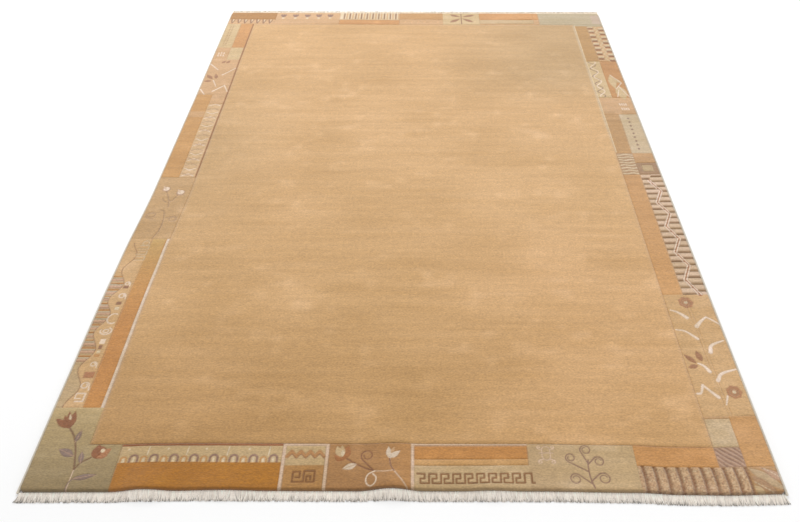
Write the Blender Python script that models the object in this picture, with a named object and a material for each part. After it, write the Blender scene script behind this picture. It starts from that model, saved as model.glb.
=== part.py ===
"""Hand-knotted rug with a carved patchwork border, corded sides and fringed ends.

Lengths are in metres. The origin is on the floor under the middle of the rug,
+X is the rug's right side and +Y its far end. The pattern is laid out on a flat
rectangle, and place() carries it onto the slightly uneven outline of the rug.
"""
import math
import random
from collections import namedtuple

import bmesh
import bpy
from mathutils import Vector
from mathutils.geometry import delaunay_2d_cdt, intersect_point_line

# Driving dimensions of the pile
PILE_WIDTH = 1.706
PILE_LENGTH = 2.406
PILE_THICKNESS = 0.014
CORNER_ROUND = 0.014
CORNER_PULL = 0.29
FIELD_SWELL = 0.0008
GAP = 0.0003

# Cord along each long side, and fringe at each end
SELVEDGE_WIDTH = 0.007
SELVEDGE_HEIGHT = 0.006
SELVEDGE_SIDES = 6
NEAR_FRINGE = 0.0222
FAR_FRINGE = 0.0450
FRINGE_RAGGED = 0.16
LOCKS = 145
LOCK_ROOT = 0.0075
LOCK_TIP = 0.0045
LOCK_LEAN = 0.055
STRIP_DEPTH = 0.003
STRIP_THICKNESS = 0.003
TIP_THICKNESS = 0.002

# Carving
SEAM_WIDTH = 0.005
SEAM_DEPTH = 0.0025
RIB_GROOVE_WIDTH = 0.010
RIB_DEPTH = 0.004
STAVE_GROOVE_WIDTH = 0.008
STAVE_DEPTH = 0.003

# Spacing of the points that the outline bends at
SIDE_STEP = 0.05
END_STEP = 0.025

HALF_WIDTH = PILE_WIDTH / 2
HALF_LENGTH = PILE_LENGTH / 2
PILE_OFFSET = (FAR_FRINGE - NEAR_FRINGE) / 2

# Rounding of the pile's rim: distance in from the wall, drop from the top, share of the carving left
Rim = namedtuple("Rim", "inset drop carving")
RIM = (
    Rim(0.0060, 0.0000, 1.0),
    Rim(0.0018, 0.0018, 0.8),
    Rim(0.0000, 0.0065, 0.3),
    Rim(0.0000, PILE_THICKNESS, 0.0),
)
TOP_INSET = RIM[0].inset

# How far each edge lies inside its outermost line: (place along the edge, distance in)
LEFT_BOW = (
    (-1.20, 0.004), (-0.95, 0.002), (-0.60, 0.000), (-0.45, 0.002),
    (-0.12, 0.011), (0.40, 0.010), (0.80, 0.0075), (1.20, 0.006),
)
RIGHT_BOW = ((-1.20, 0.000), (-0.60, 0.001), (0.30, 0.002), (1.20, 0.004))
NEAR_BOW = (
    (-0.85, 0.005), (-0.66, 0.006), (-0.58, 0.009), (-0.45, 0.010), (-0.10, 0.009),
    (-0.025, 0.012), (0.05, 0.009), (0.30, 0.009), (0.52, 0.006), (0.625, 0.001),
    (0.725, 0.000), (0.85, 0.003),
)
FAR_BOW = ((-0.85, 0.000), (0.00, 0.002), (0.85, 0.001))

# Low waves along the near end, which lift the cloth off the floor
Wave = namedtuple("Wave", "centre half_width height reach")
WAVES = (
    Wave(-0.575, 0.075, 0.0080, 0.075),
    Wave(-0.400, 0.100, 0.0035, 0.060),
    Wave(-0.025, 0.075, 0.0090, 0.080),
    Wave(0.200, 0.075, 0.0040, 0.060),
)
WAVE_ROWS = (0.018, 0.040, 0.065, 0.095)

# Guide lines of the border
LEFT_INNER = -0.7315
LEFT_MIDDLE = -0.7900
RIGHT_INNER = 0.7225
RIGHT_MIDDLE = 0.7800
NEAR_INNER = -1.0860
FAR_INNER = 1.0840

# Seams across the rug: (y, from x, to x)
CROSS_SEAMS = (
    (FAR_INNER, -HALF_WIDTH, RIGHT_INNER),
    (1.132, -HALF_WIDTH, 0.129),
    (1.132, 0.297, 0.569),
    (1.070, RIGHT_INNER, HALF_WIDTH),
    (0.859, -HALF_WIDTH, LEFT_INNER),
    (0.754, LEFT_MIDDLE, LEFT_INNER),
    (0.473, -HALF_WIDTH, LEFT_INNER),
    (-0.060, -HALF_WIDTH, LEFT_INNER),
    (-0.370, -HALF_WIDTH, LEFT_INNER),
    (-0.984, -HALF_WIDTH, LEFT_INNER),
    (0.748, RIGHT_INNER, HALF_WIDTH),
    (0.460, RIGHT_INNER, HALF_WIDTH),
    (0.340, RIGHT_INNER, HALF_WIDTH),
    (0.088, RIGHT_INNER, HALF_WIDTH),
    (0.032, RIGHT_MIDDLE, HALF_WIDTH),
    (-0.034, RIGHT_INNER, HALF_WIDTH),
    (-0.597, RIGHT_INNER, HALF_WIDTH),
    (-1.001, RIGHT_INNER, HALF_WIDTH),
    (-1.138, 0.5345, HALF_WIDTH),
    (NEAR_INNER, LEFT_INNER, 0.785),
    (-1.135, -0.654, -0.2795),
    (-1.126, 0.018, 0.287),
    (-1.142, 0.018, 0.287),
)

# Seams along the rug: (x, from y, to y)
LENGTH_SEAMS = (
    (LEFT_INNER, NEAR_INNER, FAR_INNER),
    (LEFT_MIDDLE, 0.754, FAR_INNER),
    (LEFT_MIDDLE, -0.060, 0.473),
    (-0.7845, -0.984, -0.370),
    (-0.7400, -0.984, -0.370),
    (RIGHT_INNER, -1.138, FAR_INNER),
    (RIGHT_MIDDLE, -0.597, 0.340),
    (RIGHT_MIDDLE, 0.460, 1.070),
    (0.785, -HALF_LENGTH, -1.001),
    (-0.654, -HALF_LENGTH, NEAR_INNER),
    (-0.2795, -HALF_LENGTH, NEAR_INNER),
    (-0.1720, -HALF_LENGTH, NEAR_INNER),
    (0.0180, -HALF_LENGTH, NEAR_INNER),
    (0.2870, -1.142, NEAR_INNER),
    (0.5345, -HALF_LENGTH, NEAR_INNER),
    (-0.640, FAR_INNER, HALF_LENGTH),
    (-0.346, FAR_INNER, HALF_LENGTH),
    (-0.071, FAR_INNER, HALF_LENGTH),
    (0.129, FAR_INNER, HALF_LENGTH),
    (0.297, FAR_INNER, HALF_LENGTH),
    (0.569, FAR_INNER, HALF_LENGTH),
)

# Stem line up the near right block
STEM = ((0.791, -1.001), (0.787, -0.873), (0.7835, -0.597))

# Ribs in the near right block, which run along the rug
RIB_FIRST = 0.5472
RIB_PITCH = 0.0260
RIB_COUNT = 9
RIB_TOP = -1.138

# Staves across the right border, parted by a zigzag
STAVE_NEAR = -0.597
STAVE_FAR = -0.034
STAVE_PITCH = 0.0268
ZIGZAG_LEFT = 0.8035
ZIGZAG_RIGHT = 0.8295
ZIGZAG_HALF_PITCH = 0.0588

# Two offset rows of short staves at the far right
BRICK_NEAR = 0.748
BRICK_FAR = 1.070
BRICK_MIDDLE = 0.8165
BRICK_PITCH = 0.0395

# Wavy line down the left border's outer column
WAVY_NEAR = -0.984
WAVY_FAR = -0.385
WAVY_MIDDLE = -0.8230
WAVY_SWING = 0.0115
WAVY_HALF_PITCH = 0.0600
WAVY_STEPS = 4

FIELD_STEP = 0.150

# Points closer than this are one point
MERGE = 0.00002

Groove = namedtuple("Groove", "points half_width depth")


def smooth_between(table, along):
    """Value of a two-column table, eased from each row to the next."""
    if along <= table[0][0]:
        return table[0][1]
    for (start, low), (stop, high) in zip(table, table[1:]):
        if along <= stop:
            part = (along - start) / (stop - start)
            return low + (high - low) * part * part * (3 - 2 * part)
    return table[-1][1]


def stepped(shape, along, step):
    """shape(along), made straight between whole steps so that neighbours can follow it."""
    before = math.floor(along / step)
    low = shape(before * step)
    high = shape((before + 1) * step)
    return low + (high - low) * (along / step - before)


def edge_bow(table, along, step):
    return stepped(lambda place_along: smooth_between(table, place_along), along, step)


def lift(u, v):
    """Height of the cloth above the floor in the near end's waves."""
    total = 0.0
    for wave in WAVES:
        fade = max(0.0, 1 - (v + HALF_LENGTH) / wave.reach)

        def crest(across, wave=wave):
            part = abs(across - wave.centre) / wave.half_width
            return 0.5 + 0.5 * math.cos(math.pi * min(1.0, part))

        total += wave.height * stepped(crest, u, END_STEP) * fade * fade * (3 - 2 * fade)
    return total


def lay(u, v, z):
    """Point of the rug for a point (u, v) of the flat pattern, z above the cloth's underside."""
    left = -HALF_WIDTH + edge_bow(LEFT_BOW, v, SIDE_STEP)
    right = HALF_WIDTH - edge_bow(RIGHT_BOW, v, SIDE_STEP)
    near = -HALF_LENGTH + edge_bow(NEAR_BOW, u, END_STEP)
    far = HALF_LENGTH - edge_bow(FAR_BOW, u, END_STEP)
    x = left + (right - left) * (u + HALF_WIDTH) / PILE_WIDTH
    y = near + (far - near) * (v + HALF_LENGTH) / PILE_LENGTH
    return Vector((x, y - PILE_OFFSET, z + lift(u, v)))


def place(u, v, z):
    """The same for the pile, whose four corners are drawn in to round them."""
    beside = max(0.0, 1 - (HALF_WIDTH - abs(u)) / CORNER_ROUND)
    behind = max(0.0, 1 - (HALF_LENGTH - abs(v)) / CORNER_ROUND)
    pull = CORNER_PULL * CORNER_ROUND * (beside * behind) ** 2
    return lay(u, v, z) - Vector((math.copysign(pull, u), math.copysign(pull, v), 0.0))


def steps_between(low, high, step):
    """Whole multiples of step strictly between low and high."""
    first = math.floor(low / step) + 1
    last = math.ceil(high / step) - 1
    return [index * step for index in range(first, last + 1)]


def zigzag_at(v):
    """Middle of the zigzag, which starts at its right turn."""
    part = (v - STAVE_NEAR) / ZIGZAG_HALF_PITCH
    swing = abs(part % 2 - 1)
    return ZIGZAG_LEFT + (ZIGZAG_RIGHT - ZIGZAG_LEFT) * swing


def rib_grooves():
    for index in range(RIB_COUNT):
        x = RIB_FIRST + index * RIB_PITCH
        yield Groove(((x, -HALF_LENGTH), (x, RIB_TOP)), RIB_GROOVE_WIDTH / 2, RIB_DEPTH)


def stave_grooves():
    """Zigzag, and the grooves between the staves on both sides of it."""
    turns = []
    v = STAVE_NEAR
    while v < STAVE_FAR:
        turns.append((zigzag_at(v), v))
        v += ZIGZAG_HALF_PITCH
    turns.append((zigzag_at(STAVE_FAR), STAVE_FAR))
    yield Groove(tuple(turns), SEAM_WIDTH / 2, SEAM_DEPTH)
    count = int((STAVE_FAR - STAVE_NEAR) / STAVE_PITCH)
    for index in range(1, count + 1):
        v = STAVE_NEAR + index * STAVE_PITCH
        inner = ((RIGHT_MIDDLE, v), (zigzag_at(v), v))
        yield Groove(inner, STAVE_GROOVE_WIDTH / 2, STAVE_DEPTH)
        v -= STAVE_PITCH / 2
        outer = ((zigzag_at(v), v), (HALF_WIDTH, v))
        yield Groove(outer, STAVE_GROOVE_WIDTH / 2, STAVE_DEPTH)


def brick_grooves():
    count = int((BRICK_FAR - BRICK_NEAR) / BRICK_PITCH)
    for index in range(count):
        v = BRICK_FAR - (index + 0.5) * BRICK_PITCH
        inner = ((RIGHT_MIDDLE, v), (BRICK_MIDDLE, v))
        yield Groove(inner, STAVE_GROOVE_WIDTH / 2, STAVE_DEPTH)
        v -= BRICK_PITCH / 2
        outer = ((BRICK_MIDDLE, v), (HALF_WIDTH, v))
        yield Groove(outer, STAVE_GROOVE_WIDTH / 2, STAVE_DEPTH)


def wavy_groove():
    count = round((WAVY_FAR - WAVY_NEAR) / WAVY_HALF_PITCH * WAVY_STEPS)
    points = []
    for index in range(count + 1):
        phase = math.pi * index / WAVY_STEPS
        along = WAVY_NEAR + index * WAVY_HALF_PITCH / WAVY_STEPS
        points.append((WAVY_MIDDLE - WAVY_SWING * math.cos(phase), along))
    return Groove(tuple(points), SEAM_WIDTH / 2, SEAM_DEPTH)


def all_grooves():
    grooves = [
        Groove(((start, y), (stop, y)), SEAM_WIDTH / 2, SEAM_DEPTH) for y, start, stop in CROSS_SEAMS
    ]
    grooves += [
        Groove(((x, start), (x, stop)), SEAM_WIDTH / 2, SEAM_DEPTH) for x, start, stop in LENGTH_SEAMS
    ]
    grooves += rib_grooves()
    grooves += stave_grooves()
    grooves += brick_grooves()
    grooves.append(wavy_groove())
    grooves.append(Groove(STEM, SEAM_WIDTH / 2, SEAM_DEPTH))
    return grooves


GROOVES = all_grooves()


def carving(u, v):
    """Depth of the carving at a point of the pattern: V-shaped across each groove."""
    depth = 0.0
    point = Vector((u, v))
    for groove in GROOVES:
        for start, stop in zip(groove.points, groove.points[1:]):
            start, stop = Vector(start), Vector(stop)
            part = intersect_point_line(point, start, stop)[1]
            foot = start.lerp(stop, min(1.0, max(0.0, part)))
            away = (point - foot).length
            depth = max(depth, groove.depth * (1 - away / groove.half_width))
    return depth


def swell(u, v):
    """Slow rise and fall of the field, nothing at its rim."""
    if not (LEFT_INNER < u < RIGHT_INNER and NEAR_INNER < v < FAR_INNER):
        return 0.0
    across = math.sin(math.pi * (u - LEFT_INNER) / (RIGHT_INNER - LEFT_INNER))
    along = math.sin(math.pi * (v - NEAR_INNER) / (FAR_INNER - NEAR_INNER))
    ripple = math.sin(7.3 * u + 2.1 * v) * math.sin(1.7 * u - 5.9 * v)
    return FIELD_SWELL * math.sqrt(across * along) * ripple


def side_line(points, distance):
    """The polyline moved sideways by distance, mitred at its bends."""
    moved = []
    for index, point in enumerate(points):
        before = points[max(index - 1, 0)]
        after = points[min(index + 1, len(points) - 1)]
        normals = []
        for start, stop in ((before, point), (point, after)):
            run = Vector(stop) - Vector(start)
            if run.length > 0:
                normals.append(Vector((-run.y, run.x)).normalized())
        mean = sum(normals, Vector((0.0, 0.0))).normalized()
        moved.append(Vector(point) + mean * distance / mean.dot(normals[0]))
    return moved


def clamp_inside(point):
    """Point moved, if need be, onto the rim of the pile's flat top."""
    wide = HALF_WIDTH - TOP_INSET
    long = HALF_LENGTH - TOP_INSET
    return Vector((min(wide, max(-wide, point[0])), min(long, max(-long, point[1]))))


def rectangle(inset):
    """Rim points of the pattern at an inset, anticlockwise from the near left corner."""
    wide = HALF_WIDTH - inset
    long = HALF_LENGTH - inset
    corner_steps = (CORNER_ROUND * 0.3, CORNER_ROUND * 0.65)
    across = sorted(
        steps_between(-HALF_WIDTH + 2 * CORNER_ROUND, HALF_WIDTH - 2 * CORNER_ROUND, END_STEP)
        + [side * (wide - step) for step in corner_steps for side in (-1, 1)]
    )
    along = sorted(
        steps_between(-HALF_LENGTH + 2 * CORNER_ROUND, HALF_LENGTH - 2 * CORNER_ROUND, SIDE_STEP)
        + [side * (long - step) for step in corner_steps for side in (-1, 1)]
    )
    points = [Vector((-wide, -long))] + [Vector((x, -long)) for x in across]
    points += [Vector((wide, -long))] + [Vector((wide, y)) for y in along]
    points += [Vector((wide, long))] + [Vector((x, long)) for x in reversed(across)]
    points += [Vector((-wide, long))] + [Vector((-wide, y)) for y in reversed(along)]
    return points


def wave_points():
    """Points inside the near rim where the cloth rises in its waves."""
    points = []
    for wave in WAVES:
        for x in steps_between(wave.centre - wave.half_width, wave.centre + wave.half_width, END_STEP):
            points += [Vector((x, -HALF_LENGTH + row)) for row in WAVE_ROWS]
    return points


def field_points():
    """Coarse grid over the plain field."""
    points = []
    for x in steps_between(LEFT_INNER + 0.05, RIGHT_INNER - 0.05, FIELD_STEP):
        points += [Vector((x, y)) for y in steps_between(NEAR_INNER + 0.05, FAR_INNER - 0.05, FIELD_STEP)]
    return points


def triangulate(points, lines):
    """Triangles over the points, with each line of points kept as edges."""
    verts = list(points)
    edges = []
    for line in lines:
        first = len(verts)
        verts += line
        edges += [(index, index + 1) for index in range(first, first + len(line) - 1)]
    new_verts, _, new_faces = delaunay_2d_cdt(verts, edges, [], 0, MERGE)[:3]
    return new_verts, new_faces


def rim_place(point):
    """Side and position of a point on the rim of the flat top, for sorting; None if inside."""
    wide = HALF_WIDTH - TOP_INSET
    long = HALF_LENGTH - TOP_INSET
    if abs(point.y + long) < MERGE and point.x < wide - MERGE:
        return (0, point.x)
    if abs(point.x - wide) < MERGE and point.y < long - MERGE:
        return (1, point.y)
    if abs(point.y - long) < MERGE and point.x > -wide + MERGE:
        return (2, -point.x)
    if abs(point.x + wide) < MERGE:
        return (3, -point.y)
    return None


def outward(point, inset):
    """Rim point of the flat top moved out, so that it lies at the given inset."""
    step = TOP_INSET - inset
    u, v = point
    if abs(abs(u) - HALF_WIDTH + TOP_INSET) < MERGE:
        u += math.copysign(step, u)
    if abs(abs(v) - HALF_LENGTH + TOP_INSET) < MERGE:
        v += math.copysign(step, v)
    return Vector((u, v))


def top_mesh():
    """Flat-pattern points and triangles of the pile's carved top."""
    outline = rectangle(TOP_INSET)
    lines = [outline + [outline[0]]]
    caps = []
    for groove in GROOVES:
        for distance in (-groove.half_width, 0.0, groove.half_width):
            lines.append([clamp_inside(point) for point in side_line(groove.points, distance)])
        for end, inner in ((0, 1), (-1, -2)):
            away = (Vector(groove.points[end]) - Vector(groove.points[inner])).normalized()
            caps.append(clamp_inside(Vector(groove.points[end]) + away * groove.half_width))
    return triangulate(caps + wave_points() + field_points(), lines)


def make_object(name, bm, colour, roughness):
    mesh = bpy.data.meshes.new(name)
    bm.to_mesh(mesh)
    bm.free()
    material = bpy.data.materials.new(name)
    material.use_nodes = True
    shader = material.node_tree.nodes["Principled BSDF"]
    shader.inputs["Base Color"].default_value = (*colour, 1.0)
    shader.inputs["Roughness"].default_value = roughness
    shader.inputs["Metallic"].default_value = 0.0
    mesh.materials.append(material)
    made = bpy.data.objects.new(name, mesh)
    bpy.context.collection.objects.link(made)
    return made


def build_pile():
    pattern, triangles = top_mesh()
    bm = bmesh.new()
    top = []
    for u, v in pattern:
        top.append(bm.verts.new(place(u, v, PILE_THICKNESS - carving(u, v) + swell(u, v))))
    for triangle in triangles:
        bm.faces.new([top[index] for index in triangle])

    rim = sorted((rim_place(point), index) for index, point in enumerate(pattern) if rim_place(point))
    rim = [index for _, index in rim]
    rings = [[top[index] for index in rim]]
    for row in RIM[1:]:
        ring = []
        for index in rim:
            height = PILE_THICKNESS - row.drop - row.carving * carving(*pattern[index])
            ring.append(bm.verts.new(place(*outward(pattern[index], row.inset), height)))
        rings.append(ring)
    for upper, lower in zip(rings, rings[1:]):
        for index in range(len(rim)):
            after = (index + 1) % len(rim)
            bm.faces.new((upper[index], lower[index], lower[after], upper[after]))

    wall = [outward(pattern[index], 0.0) for index in rim]
    base_points, base_triangles = triangulate(wave_points(), [wall + [wall[0]]])
    base = []
    for point in base_points:
        nearest = min(range(len(wall)), key=lambda index: (wall[index] - point).length)
        if (wall[nearest] - point).length < 2 * MERGE:
            base.append(rings[-1][nearest])
        else:
            base.append(bm.verts.new(place(*point, 0.0)))
    for triangle in base_triangles:
        bm.faces.new([base[index] for index in triangle])
    bmesh.ops.recalc_face_normals(bm, faces=bm.faces)
    return make_object("pile", bm, (0.50, 0.32, 0.16), 0.9)


def build_selvedge(name, side):
    """Oval cord beside a long wall, flat underneath, side -1 for left and 1 for right."""
    stations = [-HALF_LENGTH]
    stations += steps_between(-HALF_LENGTH + 0.01, HALF_LENGTH - 0.01, SIDE_STEP)
    stations.append(HALF_LENGTH)
    bm = bmesh.new()
    rings = []
    for v in stations:
        wall = lay(side * HALF_WIDTH, v, 0.0)
        middle = wall.x + side * (GAP + SELVEDGE_WIDTH / 2)
        ring = []
        for corner in range(SELVEDGE_SIDES):
            angle = math.tau * corner / SELVEDGE_SIDES
            x = middle + SELVEDGE_WIDTH / 2 * math.cos(angle)
            z = SELVEDGE_HEIGHT / 2 * (1 + math.sin(angle) / math.sin(math.pi / 3))
            ring.append(bm.verts.new((x, wall.y, z)))
        rings.append(ring)
    for first, second in zip(rings, rings[1:]):
        for corner in range(SELVEDGE_SIDES):
            after = (corner + 1) % SELVEDGE_SIDES
            bm.faces.new((first[corner], first[after], second[after], second[corner]))
    bm.faces.new(rings[0])
    bm.faces.new(rings[-1])
    bmesh.ops.recalc_face_normals(bm, faces=bm.faces)
    return make_object(name, bm, (0.62, 0.56, 0.48), 0.9)


def comb_outline(reach, seed):
    """Outline of a fringe on the flat: (u, distance from the wall, sideways lean) all round."""
    chance = random.Random(seed)
    half = HALF_WIDTH - 0.008
    inner = steps_between(-HALF_WIDTH + 2 * CORNER_ROUND, HALF_WIDTH - 2 * CORNER_ROUND, END_STEP)
    outline = [(u, 0.0, 0.0) for u in [half] + inner[::-1] + [-half]]
    outline.append((-half, STRIP_DEPTH, 0.0))
    pitch = 2 * half / LOCKS
    for index in range(LOCKS):
        middle = -half + (index + 0.5) * pitch
        lean = reach * chance.uniform(-LOCK_LEAN, LOCK_LEAN)
        length = reach * (1 - FRINGE_RAGGED * chance.random() ** 2)
        outline.append((middle - LOCK_ROOT / 2, STRIP_DEPTH, 0.0))
        outline.append((middle - LOCK_TIP / 2, length, lean))
        outline.append((middle + LOCK_TIP / 2, length, lean))
        outline.append((middle + LOCK_ROOT / 2, STRIP_DEPTH, 0.0))
    outline.append((half, STRIP_DEPTH, 0.0))
    return outline


def build_fringe(name, end, reach, seed):
    """Comb of flat locks along one end wall, end -1 for the near end and 1 for the far."""
    outline = comb_outline(reach, seed)
    shortest = reach * (1 - FRINGE_RAGGED)
    low = []
    for u, away, lean in outline:
        foot = lay(u, end * HALF_LENGTH, 0.0)
        drop = max(0.0, 1 - away / shortest)
        low.append(Vector((foot.x + lean, foot.y + end * (GAP + away), foot.z * drop)))
    limit = HALF_LENGTH + GAP + reach - end * PILE_OFFSET
    trim = limit - max(end * point.y for point in low)
    high = []
    for point, (_, away, _) in zip(low, outline):
        if away > STRIP_DEPTH:
            point.y += end * trim
        thickness = STRIP_THICKNESS + (TIP_THICKNESS - STRIP_THICKNESS) * away / reach
        high.append(point + Vector((0.0, 0.0, thickness)))

    face = list(range(len(low)))
    if end > 0:
        face.reverse()
    flat = [point.to_2d() for point in low]
    triangles = delaunay_2d_cdt(flat, [], [face], 1, MERGE)[2]
    bm = bmesh.new()
    under = [bm.verts.new(point) for point in low]
    over = [bm.verts.new(point) for point in high]
    for triangle in triangles:
        bm.faces.new([under[index] for index in triangle])
        bm.faces.new([over[index] for index in reversed(triangle)])
    for index in range(len(outline)):
        after = (index + 1) % len(outline)
        bm.faces.new((under[index], under[after], over[after], over[index]))
    bmesh.ops.recalc_face_normals(bm, faces=bm.faces)
    return make_object(name, bm, (0.80, 0.74, 0.64), 0.95)


def main():
    for existing in list(bpy.data.objects):
        bpy.data.objects.remove(existing)
    build_pile()
    build_selvedge("selvedge_left", -1)
    build_selvedge("selvedge_right", 1)
    build_fringe("fringe_front", -1, NEAR_FRINGE, seed=5)
    build_fringe("fringe_back", 1, FAR_FRINGE, seed=8)


main()
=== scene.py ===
"""Looks of a hand-knotted rug: dyed and carved pile, woven back, corded sides and fringes.

The pattern is laid out in millimetres on a flat rectangle, u across the rug and v
along it, both from the middle. lay() carries it onto the rug, in metres.
"""
import math
from collections import namedtuple

import bpy
import numpy as np
from mathutils import Matrix


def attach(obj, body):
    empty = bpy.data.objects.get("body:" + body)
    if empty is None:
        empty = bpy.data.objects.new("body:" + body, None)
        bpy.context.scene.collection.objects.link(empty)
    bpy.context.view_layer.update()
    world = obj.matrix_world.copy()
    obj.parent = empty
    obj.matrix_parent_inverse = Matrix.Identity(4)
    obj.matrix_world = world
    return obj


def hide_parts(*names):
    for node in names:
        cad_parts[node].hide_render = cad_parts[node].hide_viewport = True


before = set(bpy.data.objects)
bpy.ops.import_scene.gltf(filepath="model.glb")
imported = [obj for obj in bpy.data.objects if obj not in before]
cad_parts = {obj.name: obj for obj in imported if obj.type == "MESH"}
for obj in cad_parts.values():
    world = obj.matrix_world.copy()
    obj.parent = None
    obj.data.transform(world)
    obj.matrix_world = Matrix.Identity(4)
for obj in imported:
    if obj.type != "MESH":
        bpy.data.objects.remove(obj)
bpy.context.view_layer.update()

# Sizes of the pile, in millimetres
PILE_WIDTH = 1706.0
PILE_LENGTH = 2406.0
PILE_THICKNESS = 14.0
BACK_THICKNESS = 2.6
CORNER_ROUND = 14.0
RIM_INSET = 6.0
RIM_DROP = 6.5
GAP = 0.3
HALF_WIDTH = PILE_WIDTH / 2
HALF_LENGTH = PILE_LENGTH / 2

# How far a corner is drawn in, as a share of CORNER_ROUND, and the part of it that the far ones get
CORNER_PULL = 0.29
FAR_CORNER_SHARE = 0.4

# Power of the way out across the rim by which its top falls
RIM_POWER = 3.6

# Cords and fringes, in millimetres
CORD_WIDTH = 7.0
CORD_HEIGHT = 6.0
NEAR_FRINGE = 22.2
FAR_FRINGE = 45.0
PILE_OFFSET = (FAR_FRINGE - NEAR_FRINGE) / 2

# Locks of yarn in each fringe
LOCKS = 145

# How far each edge lies inside its outermost line: (place along the edge, distance in)
LEFT_BOW = (
    (-1200, 4.0), (-950, 2.0), (-600, 0.0), (-450, 2.0),
    (-120, 11.0), (400, 10.0), (800, 7.5), (1200, 6.0),
)
RIGHT_BOW = ((-1200, 0.0), (-600, 1.0), (300, 2.0), (1200, 4.0))
NEAR_BOW = (
    (-850, 5.0), (-660, 6.0), (-580, 9.0), (-450, 10.0), (-100, 9.0),
    (-25, 12.0), (50, 9.0), (300, 9.0), (520, 6.0), (625, 1.0), (725, 0.0), (850, 3.0),
)
FAR_BOW = ((-850, 0.0), (0, 2.0), (850, 1.0))

# Low waves along the near end: middle, half the width, height, reach in from the edge
WAVES = ((-575, 75, 8.0, 75), (-400, 100, 3.5, 60), (-25, 75, 9.0, 80), (200, 75, 4.0, 60))

# Guide lines of the border
LEFT_INNER = -731.5
LEFT_MIDDLE = -790.0
RIGHT_INNER = 722.5
RIGHT_MIDDLE = 780.0
NEAR_INNER = -1086.0
FAR_INNER = 1084.0
COLUMN_NEAR = -984.0
STAVES_NEAR = -597.0

# A line outside the rug, for blocks that run out to its edge
OUT = 900.0
OUT_NEAR = -1250.0
OUT_FAR = 1250.0

# Carving: half the width of a cut and its depth
Cut = namedtuple("Cut", "half_width depth")
SEAM = Cut(2.0, 1.7)
FINE = Cut(1.7, 1.0)
RIB = Cut(6.0, 4.0)
STAVE = Cut(4.0, 3.0)
NO_CUT = Cut(1.0, 0.0)

# Width over which two dyes meet, and how far in from the near edge the wool gets painted shade
SOFT_EDGE = 1.4
NEAR_SHADE_REACH = 15.0

# Painted shade: shares by which wool is darker for each millimetre of a cut's depth, and at the edge of the
# rim
CUT_SHADE = 0.075
RIM_SHADE = 0.36

# Worn and lit wool shifts less in red than in blue
TONE_POWERS = np.array((0.8, 1.0, 1.7))

# How far a drawn line wanders, and the room kept round a shape for its cut
WANDER = 0.9
SHAPE_MARGIN = 6.0

# Cells of the tables of random values before they repeat
NOISE_CELLS = (97, 89)
GRAIN_CELLS = (101, 103)


def linear(red, green, blue):
    """Colour for the shaders from an sRGB colour of 0 to 255."""
    share = np.array((red, green, blue)) / 255
    return np.where(share < 0.04045, share / 12.92, ((share + 0.055) / 1.055) ** 2.4)


# Dyes of the wool
FIELD = linear(190, 149, 97)
ORANGE = linear(185, 132, 74)
DEEP_ORANGE = linear(159, 102, 18)
SOFT_ORANGE = linear(188, 140, 86)
TAN = linear(179, 137, 90)
NEAR_TAN = linear(158, 114, 66)
PINK_TAN = linear(187, 147, 103)
KHAKI = linear(145, 123, 83)
PALE_GREEN = linear(182, 153, 111)
ARCH_GREEN = linear(178, 149, 104)
GREY_GREEN = linear(190, 162, 118)
WHITE_WOOL = linear(219, 196, 172)
LEAF_TAN = linear(192, 153, 104)
NEAR_ORANGE = linear(178, 122, 60)
DULL_GREEN = linear(171, 153, 121)
LEAF_GREY = linear(124, 101, 86)
KEY_BROWN = linear(132, 92, 52)
CREAM = linear(202, 180, 145)
PINK_WHITE = linear(202, 172, 143)
MAUVE = linear(172, 136, 106)
DARK_MAUVE = linear(136, 103, 83)
RUST = linear(134, 83, 47)
TERRACOTTA = linear(162, 109, 69)
BROWN = linear(136, 95, 63)
STEM_BROWN = linear(130, 95, 63)
STEM_RED = linear(122, 78, 50)
CUP_BROWN = linear(152, 98, 52)
TULIP_GREY = linear(200, 178, 152)
ZIGZAG_TAN = linear(162, 115, 66)
PALE_BROWN = linear(163, 126, 90)
COTTON = linear(255, 246, 235)
COTTON_GREY = linear(170, 162, 152)
CORD_WOOL = linear(203, 194, 178)
BACK_WOOL = linear(168, 136, 96)


def tint(colour, *shares):
    """Colour with its red, green and blue each multiplied by a share."""
    return colour * np.array(shares)


def ramp(value, start, stop):
    """0 at start, rising evenly to 1 at stop."""
    return np.clip((value - start) / (stop - start), 0, 1)


def eased(table, along):
    """Value of a two-column table, eased from each row to the next."""
    places, values = np.array(table, dtype=float).T
    row = np.clip(np.searchsorted(places, along) - 1, 0, len(places) - 2)
    part = np.clip((along - places[row]) / (places[row + 1] - places[row]), 0, 1)
    return values[row] + (values[row + 1] - values[row]) * part * part * (3 - 2 * part)


def lift(u, v):
    """Height of the cloth above the floor in the near end's waves."""
    total = np.zeros(np.shape(u))
    for middle, half_width, height, reach in WAVES:
        fade = ramp(v, reach - HALF_LENGTH, -HALF_LENGTH)
        part = np.minimum(1, np.abs(u - middle) / half_width)
        crest = 0.5 + 0.5 * np.cos(math.pi * part)
        total = total + height * crest * fade * fade * (3 - 2 * fade)
    return total


def lay(u, v, z):
    """Points of the rug, in metres, for points (u, v) of the pattern, z above the underside."""
    left = -HALF_WIDTH + eased(LEFT_BOW, v)
    right = HALF_WIDTH - eased(RIGHT_BOW, v)
    near = -HALF_LENGTH + eased(NEAR_BOW, u)
    far = HALF_LENGTH - eased(FAR_BOW, u)
    x = left + (right - left) * (u + HALF_WIDTH) / PILE_WIDTH
    y = near + (far - near) * (v + HALF_LENGTH) / PILE_LENGTH - PILE_OFFSET
    return np.column_stack((x, y, z + lift(u, v))) / 1000


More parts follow.
